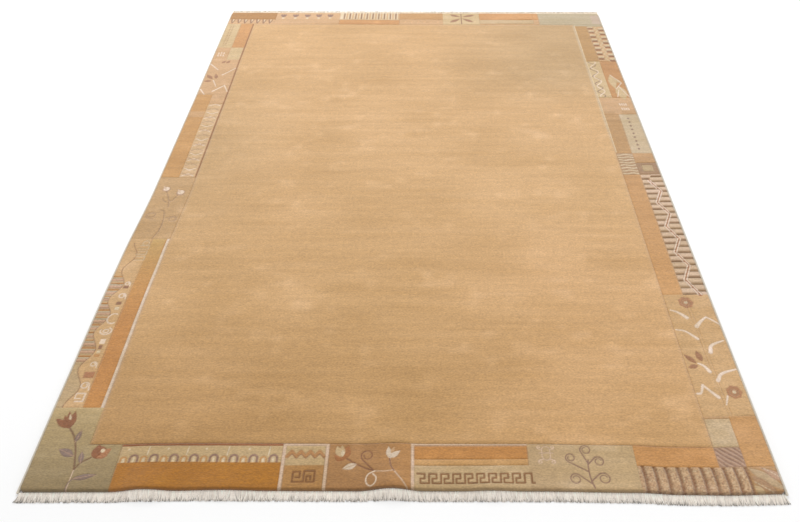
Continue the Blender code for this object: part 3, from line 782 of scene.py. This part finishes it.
def bud_block(rug):
    """Pink-tan block with two buds on long stems."""
    rug.block(-OUT, LEFT_INNER, -370, -60, tint(PINK_TAN, 0.92, 0.94, 0.86))
    for centre, radius in (((-814, -125), 13), ((-762, -143), 14)):
        rug.disc(centre, radius, MAUVE)
        rug.disc((centre[0], centre[1] + 2), radius * 0.75, WHITE_WOOL, NO_CUT)
        tip = (centre[0] - 13, centre[1] + radius + 5)
        rug.leaf((centre[0], centre[1] - 4), tip, 8, PINK_WHITE, NO_CUT)
    for points in (
        ((-811, -136), (-795, -170), (-782, -215)), ((-797, -190), (-808, -182), (-812, -172)),
        ((-768, -156), (-781, -185), (-790, -178)),
        ((-800, -232), (-790, -236), (-782, -262), (-777, -300), (-778, -335), (-788, -369)),
    ):
        rug.line(curve(points), MAUVE * 0.8, 1.6, cut=Cut(2.4, 1.6))
    rug.line(tendril((-811, -276), (-824, -256), 17, -1, 1.6), MAUVE * 0.8, 1.6)
    rug.line(tendril((-773, -270), (-751, -275), 14, -1, 1.6), MAUVE * 0.8, 1.6)


def wavy_at(v):
    """Place across of the wavy line down the left border."""
    return -823 - 11.5 * np.cos(math.pi * (v - COLUMN_NEAR) / 60)


def ornament_column(rug):
    """Left border's long block: striped outer column, wavy line, ornaments and an orange column."""
    near, far = COLUMN_NEAR, -370
    rug.block(-OUT, LEFT_INNER, near, far, LEAF_TAN)
    index = rug.window(-OUT, -800, near, far)
    outer = index[rug.u[index] < wavy_at(rug.v[index])]
    striped = outer[(rug.v[outer] > -842) & (rug.v[outer] < -530)]
    pitch, stripes = 26.5, (0.42, 0.62, 0.84)
    part = ((rug.v[striped] + 842) / pitch) % 1
    tones = np.array((MAUVE * 1.2, CREAM * 0.85, ORANGE, GREY_GREEN))
    rug.dye[striped] = tones[np.searchsorted(stripes, part)]
    away = np.abs(part[:, None] - np.array((0.0, *stripes, 1.0))).min(axis=1) * pitch
    rug.carve(striped, 2.2 * np.clip(1 - away / 3, 0, 1))
    lower = outer[rug.v[outer] <= -842]
    rug.dye[lower] = PALE_GREEN * 0.95
    wave = [(wavy_at(v), v) for v in np.arange(near, -384, 6.0)]
    rug.line(wave, BROWN, 1.7)

    middle = -801
    for centre_v, radius in ((-609, 12), (-918, 13), (-850, 10), (-560, 9)):
        curl = tendril((middle + radius, centre_v - radius), (middle, centre_v), radius * 0.85, 1)
        rug.line(curl, WHITE_WOOL, 3.2)
    for centre_v, width, height, tone in (
        (-638, 14, 12, BROWN), (-657, 12, 11, CREAM), (-775, 14, 17, WHITE_WOOL), (-794, 10, 12, BROWN),
        (-809, 9, 9, CREAM), (-822, 14, 8, ORANGE), (-884, 27, 20, TERRACOTTA), (-574, 15, 12, BROWN),
    ):
        half = width / 2
        rug.block(middle - half, middle + half, centre_v - height / 2, centre_v + height / 2, tone, FINE)
    rug.line(arc((middle - 3, -739), 15, -200, 60, 0.8), WHITE_WOOL, 3.8)
    rug.line(arc((middle - 3, -739), 7, -200, 160, 0.8), WHITE_WOOL, 3.2)
    rug.line(arc((middle + 2, -695), 15, 60, 300, 1.2), WHITE_WOOL, 3.8)
    chart = ((0.1, 0), (1, 0), (1, 1), (0, 1), (0, 0.35), (0.6, 0.35))
    rug.line(fret((middle - 12, -966), (22, 24), chart), WHITE_WOOL, 3.2)
    chart = ((0, 0), (1, 0), (1, 0.62), (0.1, 0.62))
    for rise in (-462, -438, -414):
        rug.line(fret((middle - 14, rise), (30, 24), chart), CREAM, 2.0, cut=Cut(2.6, 1.5))
    rug.line(arc((middle + 2, -388), 10, -60, 260), CREAM, 2.0, cut=Cut(2.6, 1.5))

    rug.block(-784.5, -740, near, far, NEAR_ORANGE * 1.05)
    index = rug.window(-783.5, -741, -760, far)
    rug.shade(index, ramp(rug.v[index], -760, far) ** 1.9, 0.04, 0.46, 1.05)
    rug.block(-740, LEFT_INNER, near, far, WHITE_WOOL * 0.93, NO_CUT)
    index = rug.window(-740, LEFT_INNER, near, far)
    rug.shade(index, ramp(rug.v[index], far, near), -0.12, -0.14, -0.18)


def field_edges(rug):
    """Cut along the field's edge, and the cream line down its right side."""
    rug.block(LEFT_INNER, RIGHT_INNER, NEAR_INNER, FAR_INNER, None, Cut(1.6, 0.9))
    index = rug.window(RIGHT_INNER - 5, RIGHT_INNER + 0.5, 120, 1078)
    rug.blend(index, np.clip((rug.v[index] - 120) / 260, 0, 0.6), CREAM)
    rug.block(RIGHT_INNER, RIGHT_INNER + 3.0, 92, 1078, CREAM * 1.05, NO_CUT)


def draw(u, v):
    """The whole design at the points (u, v)."""
    rug = Design(u, v)
    for paint in (
        near_left_corner, arcade, framed_block, tulip_panel, key_panel, scroll_panel, rib_panel,
        near_right_corner, right_leaf_block, staves, right_middle, right_upper, left_upper,
        lattice_block, bud_block, ornament_column, far_border, field_edges,
    ):
        paint(rug)
    return rug


# Pale worn patches of the field: middle across and along, radius, strength
PATCHES = (
    (-300, -620, 45, 0.5), (-490, -560, 30, 0.5), (190, 190, 40, 0.3),
    (120, 1010, 35, 0.4), (460, -130, 38, 0.4), (380, -430, 28, 0.5),
    (-60, -690, 34, 0.3), (-420, 560, 60, 0.2), (260, 640, 55, 0.2),
)

# Streaks and slow shifts of the field: strength, cell across and along, seed
STREAKS = ((0.09, 310, 18, 11), (0.10, 150, 12, 12), (0.19, 190, 130, 13))


def field_tone(u, v):
    """Brightness of the wool, with streaks across the rug and a few pale patches."""
    tone = 1
    for strength, *cell in STREAKS:
        tone = tone + strength * (value_noise(u, v, *cell) - 0.5)
    worn = value_noise(u, v, 80, 50, 14) * value_noise(u, v, 33, 22, 15)
    tone = tone + 0.40 * np.clip(worn - 0.38, 0, 1)
    for middle_u, middle_v, radius, strength in PATCHES:
        away = np.hypot(u - middle_u, v - middle_v) / radius
        tone = tone + 0.16 * strength * np.exp(-away * away)
    return tone


def rim_inset(u, v):
    """Distance in from the pile's nearest edge."""
    return np.minimum(HALF_WIDTH - np.abs(u), HALF_LENGTH - np.abs(v))


def pile_top(u, v):
    """Height and dye of the pile's top at the points (u, v), with painted shade in the cuts, on the rounded
    rim and along the near edge.
    """
    rug = draw(u, v)
    rounding = ramp(rim_inset(u, v), RIM_INSET, 0)
    lumps = 0.7 * (value_noise(u, v, 34, 30, 21) - 0.5) + 0.5 * (value_noise(u, v, 11, 10, 22) - 0.5)
    height = PILE_THICKNESS - RIM_DROP * rounding**RIM_POWER - rug.depth * (1 - 0.7 * rounding) + lumps
    # Painted shade in the cuts and on the rounded rim
    lit = (1 - CUT_SHADE * np.clip(rug.depth, 0, 3)) * (1 - RIM_SHADE * rounding)
    # Painted shade, darkest at the near edge
    painted_near_shade = ramp(v, NEAR_SHADE_REACH - HALF_LENGTH, -HALF_LENGTH) ** 1.3
    rug.shade(slice(None), painted_near_shade, -0.19, -0.23, -0.30)
    return height, rug.dye * lit[:, None] * field_tone(u, v)[:, None] ** TONE_POWERS


def edge_lines(start, stop, pitch, rim_start, rim_stop):
    """Lines between two places, closer together within the rounded rim at either end."""
    insets = np.array((0.0, 0.5, 1.2, 2.2, 3.6))
    low, high = start + RIM_INSET * rim_start, stop - RIM_INSET * rim_stop
    even = np.linspace(low, high, max(1, round((high - low) / pitch)) + 1)
    return np.concatenate((start + insets[: 5 * rim_start], even, (stop - insets[::-1])[: 5 * rim_stop]))


def coarse_steps(count, step):
    """Indices from 0 to count - 1, about step apart, both ends included."""
    return np.unique(np.linspace(0, count - 1, max(2, round((count - 1) / step) + 1)).astype(int))


def grid_faces(columns, rows):
    """Quads over a whole grid of points, which are numbered row by row in each column."""
    i, j = pairs(np.arange(columns - 1), np.arange(rows - 1))
    first = i * rows + j
    return np.column_stack((first, first + rows, first + rows + 1, first + 1)).tolist()


def tube_faces(rings, sides):
    """Quads round a tube of rings of points, and a cap at either end."""
    ring, side = pairs(np.arange(rings - 1), np.arange(sides))
    here, after = ring * sides + side, ring * sides + (side + 1) % sides
    quads = np.column_stack((here, after, after + sides, here + sides)).tolist()
    return quads + [list(range(sides))[::-1], list(range((rings - 1) * sides, rings * sides))]


def ring_of(columns, rows):
    """Columns and rows of the points round a grid's outline, anticlockwise."""
    last_i, last_j = columns - 1, rows - 1
    i = [*range(last_i), *[last_i] * last_j, *range(last_i, 0, -1), *[0] * last_j]
    j = [*[0] * last_i, *range(last_j), *[last_j] * last_i, *range(last_j, 0, -1)]
    return np.array(i), np.array(j)


def underside(columns, rows, step):
    """Faces of a coarse grid under a fine one, which keep every point of the fine outline."""
    across, along = coarse_steps(columns, step), coarse_steps(rows, step)
    faces = []
    for i0, i1 in zip(across, across[1:]):
        for j0, j1 in zip(along, along[1:]):
            near = [(i, j0) for i in (range(i0, i1) if j0 == 0 else (i0,))]
            right = [(i1, j) for j in (range(j0, j1) if i1 == columns - 1 else (j0,))]
            far = [(i, j1) for i in (range(i1, i0, -1) if j1 == rows - 1 else (i1,))]
            left = [(i0, j) for j in (range(j1, j0, -1) if i0 == 0 else (j1,))]
            faces.append((near + right + far + left)[::-1])
    return faces


def new_object(name, data):
    """Object in the scene for a mesh, lamp or camera."""
    made = bpy.data.objects.new(name, data)
    bpy.context.collection.objects.link(made)
    return made


def make_piece(name, points, faces, dye, material, smooth_angle=50):
    """Mesh object from points, faces and a dye for each point."""
    mesh = bpy.data.meshes.new(name)
    mesh.from_pydata(points, [], faces)
    colours = np.ones((len(points), 4), dtype=np.float32)
    colours[:, :3] = np.clip(dye, 0, 1)
    layer = mesh.color_attributes.new("dye", "FLOAT_COLOR", "POINT")
    layer.data.foreach_set("color", colours.ravel())
    mesh.shade_smooth()
    mesh.set_sharp_from_angle(angle=math.radians(smooth_angle))
    mesh.materials.append(material)
    mesh.update()
    return new_object(name, mesh)


def slab(name, us, vs, top, bottom, material, coarse):
    """Closed slab of the rug over a grid of pattern lines.

    top gives height and dye at (u, v), bottom is the height of the underside and
    coarse the step of its grid.
    """
    columns, rows = len(us), len(vs)
    u, v = pairs(us, vs)
    height, dye = top(u, v)
    points, dyes = [place(u, v, height)], [dye]
    faces = grid_faces(columns, rows)

    ring_i, ring_j = ring_of(columns, rows)
    ring = ring_i * rows + ring_j
    after = np.roll(np.arange(ring.size), -1)
    outer = rim_inset(u[ring], v[ring]) < 0.01
    upper, count = ring, u.size
    for share in (0.5, 1.0):
        tuck = np.where(outer, 0.35 * share * value_noise(u[ring], v[ring], 5, 5, 31), 0)
        wall_u = u[ring] - np.sign(u[ring]) * tuck * (np.abs(u[ring]) > HALF_WIDTH - 0.01)
        wall_v = v[ring] - np.sign(v[ring]) * tuck * (np.abs(v[ring]) > HALF_LENGTH - 0.01)
        points.append(place(wall_u, wall_v, height[ring] + (bottom - height[ring]) * share))
        # Painted shade on the outer walls, darker towards the floor
        dyes.append(dye[ring] * np.where(outer, 0.85 - 0.25 * share, 1)[:, None])
        lower = np.arange(count, count + ring.size)
        faces += np.column_stack((upper, lower, lower[after], upper[after])).tolist()
        upper, count = lower, count + ring.size

    base = {(i, j): index for i, j, index in zip(ring_i.tolist(), ring_j.tolist(), upper.tolist())}
    under = underside(columns, rows, coarse)
    inner = [key for key in dict.fromkeys(key for face in under for key in face) if key not in base]
    i, j = np.array(inner).T
    points.append(place(us[i], vs[j], np.full(i.size, bottom)))
    dyes.append(dye[i * rows + j])
    base.update({key: count + step for step, key in enumerate(inner)})
    faces += [tuple(base[key] for key in face) for face in under]
    return make_piece(name, np.concatenate(points), faces, np.concatenate(dyes), material)


def new_material(name):
    """New material with its node tree and its shader."""
    material = bpy.data.materials.new(name)
    material.use_nodes = True
    return material, material.node_tree, material.node_tree.nodes["Principled BSDF"]


def connect(tree, node, inputs):
    """Set each named input to a value, or join it to another node's output."""
    for name, value in inputs.items():
        if isinstance(value, bpy.types.NodeSocket):
            tree.links.new(value, node.inputs[name])
        else:
            node.inputs[name].default_value = value


def add(tree, kind, output, **inputs):
    """Output of a new node. Input names have _ for their spaces."""
    node = tree.nodes.new("ShaderNode" + kind)
    connect(tree, node, {name.replace("_", " "): value for name, value in inputs.items()})
    return node.outputs[output]


def wool_dye(tree):
    """The piece's dye, from its colour attribute."""
    node = tree.nodes.new("ShaderNodeAttribute")
    node.attribute_name = "dye"
    return node.outputs["Color"]


def noise_node(tree, scale, detail, stretch=(1, 1, 1)):
    """Noise in the rug's own coordinates, stretched along its axes."""
    where = add(tree, "Mapping", "Vector", Vector=add(tree, "TexCoord", "Object"), Scale=stretch)
    return add(tree, "TexNoise", "Fac", Vector=where, Scale=scale, Detail=detail)


def ranged(tree, value, low, high):
    """A value of 0.25 to 0.75 spread from low to high."""
    return add(tree, "MapRange", "Result", Value=value, From_Min=0.25, From_Max=0.75, To_Min=low, To_Max=high)


def multiplied(tree, colour, value, low, high):
    """A colour times a value that is spread from low to high."""
    node = tree.nodes.new("ShaderNodeVectorMath")
    node.operation = "SCALE"
    connect(tree, node, {0: colour, "Scale": ranged(tree, value, low, high)})
    return node.outputs["Vector"]


def bumped(tree, height, strength, distance, **below):
    """Bump from a height, over another bump given as Normal."""
    return add(tree, "Bump", "Normal", Height=height, Strength=strength, Distance=distance, **below)


def yarn_material(name, grain, stretch, spread, bump, roughness, sheen):
    """Wool or cotton in the piece's dye, with fibre-scale grain, streaks and fuzz."""
    material, tree, shader = new_material(name)
    tufts = noise_node(tree, grain, 3.0, stretch)
    clumps = noise_node(tree, grain / 2, 3.0, (0.4, 1.6, 1.0))
    wisps = noise_node(tree, grain / 5, 4.0, (0.35, 1.7, 1.0))
    streaks = noise_node(tree, 6.0, 5.0, (0.5, 12.0, 1.0))
    fibres = noise_node(tree, grain * 3.2, 2.0, stretch)
    colour = wool_dye(tree)
    for value, part in ((tufts, spread), (clumps, spread * 0.45), (wisps, spread * 0.22), (streaks, 0.05)):
        colour = multiplied(tree, colour, value, 1 - part, 1 + part)
    normal = bumped(tree, tufts, bump, 0.0016)
    connect(tree, shader, {
        "Base Color": colour,
        "Normal": bumped(tree, fibres, bump * 0.6, 0.0006, Normal=normal),
        "Roughness": ranged(tree, fibres, roughness - 0.06, roughness + 0.04),
        "Sheen Weight": sheen,
        "Sheen Roughness": 0.6,
        "Specular IOR Level": 0.15,
    })
    return material


def back_material():
    """Woven back: rows of knots between cotton wefts."""
    material, tree, shader = new_material("woven_back")
    rows = add(
        tree, "TexBrick", "Fac", Vector=add(tree, "TexCoord", "Object"), Scale=1.0,
        Brick_Width=0.0034, Row_Height=0.0032, Mortar_Size=0.0005, Mortar_Smooth=0.8,
    )
    colour = multiplied(tree, wool_dye(tree), rows, 1.0, 0.8)
    colour = multiplied(tree, colour, noise_node(tree, 260.0, 2.0), 0.9, 1.08)
    normal = bumped(tree, rows, -0.6, 0.0008)
    connect(tree, shader, {"Base Color": colour, "Normal": normal, "Roughness": 0.92})
    return material


def build_back():
    """Woven foundation under the pile, which is the rug's one sheet of cloth."""
    inset = 0.8
    us = np.linspace(-HALF_WIDTH + inset, HALF_WIDTH - inset, 72)
    vs = np.linspace(-HALF_LENGTH + inset, HALF_LENGTH - inset, 102)

    def top(u, v):
        tone = field_tone(u, v)[:, None]
        return np.full(u.size, BACK_THICKNESS - 0.1), BACK_WOOL * tone

    return slab("woven_back", us, vs, top, 0.0, back_material(), 1)


def build_pile(wool):
    """Pile in five sections that meet along the carved line round the field."""
    width = (-HALF_WIDTH, HALF_WIDTH)
    length = (NEAR_INNER, FAR_INNER, 2.3, False, False)
    pieces = []
    for name, across, along in (
        ("pile_near", (*width, 1.75, True, True), (-HALF_LENGTH, NEAR_INNER, 1.75, True, False)),
        ("pile_far", (*width, 2.3, True, True), (FAR_INNER, HALF_LENGTH, 2.3, False, True)),
        ("pile_left", (-HALF_WIDTH, LEFT_INNER, 2.3, True, False), length),
        ("pile_right", (RIGHT_INNER, HALF_WIDTH, 2.3, False, True), length),
    ):
        pieces.append(slab(name, edge_lines(*across), edge_lines(*along), pile_top, BACK_THICKNESS, wool, 6))
    field = []
    for start, stop in ((LEFT_INNER, RIGHT_INNER), (NEAR_INNER, FAR_INNER)):
        lines = np.append(edge_lines(start, stop, 11.0, False, False), (start + 1.6, stop - 1.6))
        field.append(np.sort(lines))
    pieces.append(slab("pile_field", *field, pile_top, BACK_THICKNESS, wool, 4))
    return pieces


def build_cord(name, side, material):
    """Cord along a long side, overcast with yarn whose turns slant round it."""
    pitch, rings_each, sides = 3.4, 4, 12
    vs = np.arange(-HALF_LENGTH, HALF_LENGTH + 0.1, pitch / rings_each)
    angles = np.arange(sides) / sides * math.tau
    v, angle = pairs(vs, angles)
    wall = lay(side * HALF_WIDTH, v, 0.0) * 1000
    turn = v / pitch + angle / math.tau * 0.6 + 0.25 * value_noise(v * 0, v, 40, 23, 41)
    plump = 0.90 + 0.10 * np.abs(np.sin(math.pi * turn)) + 0.05 * (value_noise(v * 0, v, 40, 60, 42) - 0.5)
    x = wall[:, 0] + side * (GAP + CORD_WIDTH / 2) + CORD_WIDTH / 2 * plump * np.cos(angle)
    z = CORD_HEIGHT / 2 + CORD_HEIGHT / 2 * plump * np.sin(angle) + wall[:, 2]
    points = np.column_stack((x, wall[:, 1], z)) / 1000
    # Painted shade between the turns of the overcast yarn, lighter on their crests, with some random tone
    tone = 0.84 + 0.26 * np.abs(np.sin(math.pi * turn)) + 0.10 * (value_noise(v * 0, v, 40, 90, 43) - 0.5)
    return make_piece(name, points, tube_faces(len(vs), sides), CORD_WOOL * tone[:, None], material, 80)


def by_strand(rings):
    """Rows of points or dyes strand by strand, from rings with one row a strand."""
    return np.swapaxes(np.array(rings), 0, 1).reshape(-1, 3)


# Half the width of the near and the far fringe, how far its end yarns lean out, and its cast
FRINGE_ENDS = {-1: (HALF_WIDTH - 1, 7.0, np.ones(3)), 1: (HALF_WIDTH + 3, 3.0, np.array((0.84, 0.79, 0.70)))}


def build_fringe(name, end, reach, strands, seed, material):
    """Cut warp ends: loose four-sided yarns in three layers that lie down on the floor."""
    chance = np.random.default_rng(seed)
    half, outward, cast = FRINGE_ENDS[end]
    u = np.linspace(-half, half, strands) + chance.uniform(-0.5, 0.5, strands)
    u = np.clip(u, -half, half)
    layer = np.arange(strands) % 3
    lock = np.floor((u + half) / (2 * half / LOCKS)).astype(int)
    lock_lean = chance.uniform(-0.09, 0.09, LOCKS + 1)[lock]
    lean = reach * lock_lean + chance.normal(0, 4.5, strands)
    splay = outward * ramp(np.abs(u), half - 30, half) ** 2
    lean = np.clip(lean, -9, 9) * (splay == 0) + np.sign(u) * splay
    length = reach * (1 - 0.22 * chance.random(strands) ** 1.5)
    wave = chance.normal(0, 0.7, strands)
    phase = chance.uniform(0, math.tau, strands)
    tone = 0.80 + 0.26 * chance.random(strands)
    dull = 0.8 * (chance.random(strands) < 0.16)[:, None]
    colours = COTTON * tone[:, None]
    # Painted shadow: some strands darken at their tips, where they meet the floor
    painted_tip_shadow = chance.random(strands) < 0.3
    foot = lay(u, end * HALF_LENGTH, 0.0) * 1000
    steps, sides = 7, 4
    points, dyes = [], []
    for part in np.linspace(0, 1, steps):
        x = foot[:, 0] + lean * part**1.4 + wave * np.sin(phase + 5 * part) * part
        y = foot[:, 1] + end * (GAP + length * part)
        radius = 1.25 - 0.45 * part
        rest = radius + (0.8 + 1.9 * layer) * (1 - part) + 0.25 * layer
        z = foot[:, 2] * max(0, 1 - part * 1.1) + rest + 0.4 * np.sin(phase + 3 * part) * part
        z = np.maximum(z, radius)
        # Some strands turn grey towards their tips
        greyed = colours + dull * min(1, max(0, 2.2 * part - 0.7)) * (COTTON_GREY - colours)
        dye = greyed * cast * (1.06 - 0.1 * part) * np.where(painted_tip_shadow, 1 - 0.7 * part**5, 1)[:, None]
        for corner in range(sides):
            turn = math.tau * (corner + 0.5) / sides
            points.append(np.column_stack((x + radius * math.cos(turn), y, z + radius * math.sin(turn))))
            dyes.append(dye)
    points, dyes = by_strand(points), by_strand(dyes)
    limit = (HALF_LENGTH + GAP + reach) - end * PILE_OFFSET
    points[:, 1] = np.clip(points[:, 1], -limit, limit)
    quads = np.array(tube_faces(steps, sides))[:, ::end]
    faces = (quads[None] + (np.arange(strands) * steps * sides)[:, None, None]).reshape(-1, sides).tolist()

    bed_u = np.linspace(-half, half, 430)
    bed_foot = lay(bed_u, end * HALF_LENGTH, 0.0) * 1000
    ragged = 0.82 + 0.16 * chance.random(bed_u.size)
    bed = []
    for share, height in ((0.02, 0.3), (0.02, 6.4), (0.3, 4.6), (0.6, 2.4), (1.0, 0.6), (0.9, 0.2)):
        away = GAP + reach * share * ragged
        rise = bed_foot[:, 2] * (1 - share) + height + 0.4 * (chance.random(bed_u.size) - 0.5) * (height > 1)
        bed.append(np.column_stack((bed_foot[:, 0], bed_foot[:, 1] + end * away, rise)))
    faces += [[len(points) + index for index in face[::-end]] for face in tube_faces(bed_u.size, len(bed))]
    bed = by_strand(bed)
    points = np.concatenate((points, bed))
    dyes = np.concatenate((dyes, np.tile(COTTON * cast * 0.96, (len(bed), 1))))
    return make_piece(name, points / 1000, faces, dyes, material, 180)


def build_rug():
    """All pieces of the rug, tied to the frame."""
    wool = yarn_material("pile_wool", 300.0, (0.6, 1.5, 1.0), 0.23, 0.6, 0.93, 0.36)
    cord_wool = yarn_material("cord_wool", 700.0, (1.0, 0.4, 1.0), 0.08, 0.4, 0.9, 0.12)
    cotton = yarn_material("fringe_cotton", 900.0, (1.0, 0.3, 1.0), 0.06, 0.4, 0.9, 0.08)
    back = build_back()
    pile = build_pile(wool)
    cords = [build_cord("cord_left", -1, cord_wool), build_cord("cord_right", 1, cord_wool)]
    fringes = [
        build_fringe("fringe_near", -1, NEAR_FRINGE, 2000, 5, cotton),
        build_fringe("fringe_far", 1, FAR_FRINGE, 1300, 8, cotton),
    ]
    for piece in (back, *pile):
        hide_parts("pile")
    for piece, node in zip(cords, ("selvedge_left", "selvedge_right")):
        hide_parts(node)
    for piece, node in zip(fringes, ("fringe_front", "fringe_back")):
        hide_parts(node)
    for piece in (back, *pile, *cords, *fringes):
        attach(piece, "root")


def build_floor():
    """Plain pale studio floor."""
    material, tree, shader = new_material("floor")
    connect(tree, shader, {"Base Color": (0.93, 0.93, 0.93, 1), "Roughness": 0.75, "Specular IOR Level": 0.1})
    half = 14.0
    corners = [(-half, -half, 0), (half, -half, 0), (half, half, 0), (-half, half, 0)]
    mesh = bpy.data.meshes.new("floor")
    mesh.from_pydata(corners, [], [(0, 1, 2, 3)])
    mesh.materials.append(material)
    new_object("floor", mesh)


def area_light(name, position, aim, size, energy):
    """Round lamp at a position, turned to a point."""
    light = bpy.data.lights.new(name, "AREA")
    light.shape = "DISK"
    light.size = size
    light.energy = energy
    lamp = new_object(name, light)
    lamp.location = position
    direction = np.array(aim) - np.array(position)
    yaw = math.atan2(direction[1], direction[0]) - math.pi / 2
    tilt = math.acos(-direction[2] / np.linalg.norm(direction))
    lamp.rotation_euler = (tilt, 0, yaw)


def build_light():
    """Soft white surround and two big soft lamps, the stronger beyond the far end."""
    world = bpy.data.worlds.new("studio")
    bpy.context.scene.world = world
    world.use_nodes = True
    tree = world.node_tree
    connect(tree, tree.nodes["Background"], {"Color": (1, 1, 1, 1), "Strength": 0.79})
    area_light("key", (-0.9, 2.9, 3.0), (-0.1, 0.9, 0), 2.4, 105)
    area_light("fill", (2.6, -1.0, 3.0), (0.5, -0.4, 0), 2.4, 16)
    bpy.context.scene.view_settings.view_transform = "Standard"


def build_camera():
    """Camera as held by a person who stands before the near end."""
    camera = bpy.data.cameras.new("camera")
    camera.lens = 32.05
    camera.sensor_width = 36.0
    camera.shift_x = -0.0336
    eye = new_object("camera", camera)
    yaw, pitch, roll = (math.radians(angle) for angle in (0.15, 43.83, 0.22))
    aim = Matrix.Rotation(-yaw, 4, "Z") @ Matrix.Rotation(math.pi / 2 - pitch, 4, "X")
    turn = aim @ Matrix.Rotation(roll, 4, "Z")
    eye.matrix_world = Matrix.Translation((0.052, -1.993, 1.473)) @ turn
    bpy.context.scene.camera = eye


build_camera()
build_light()
build_floor()
build_rug()
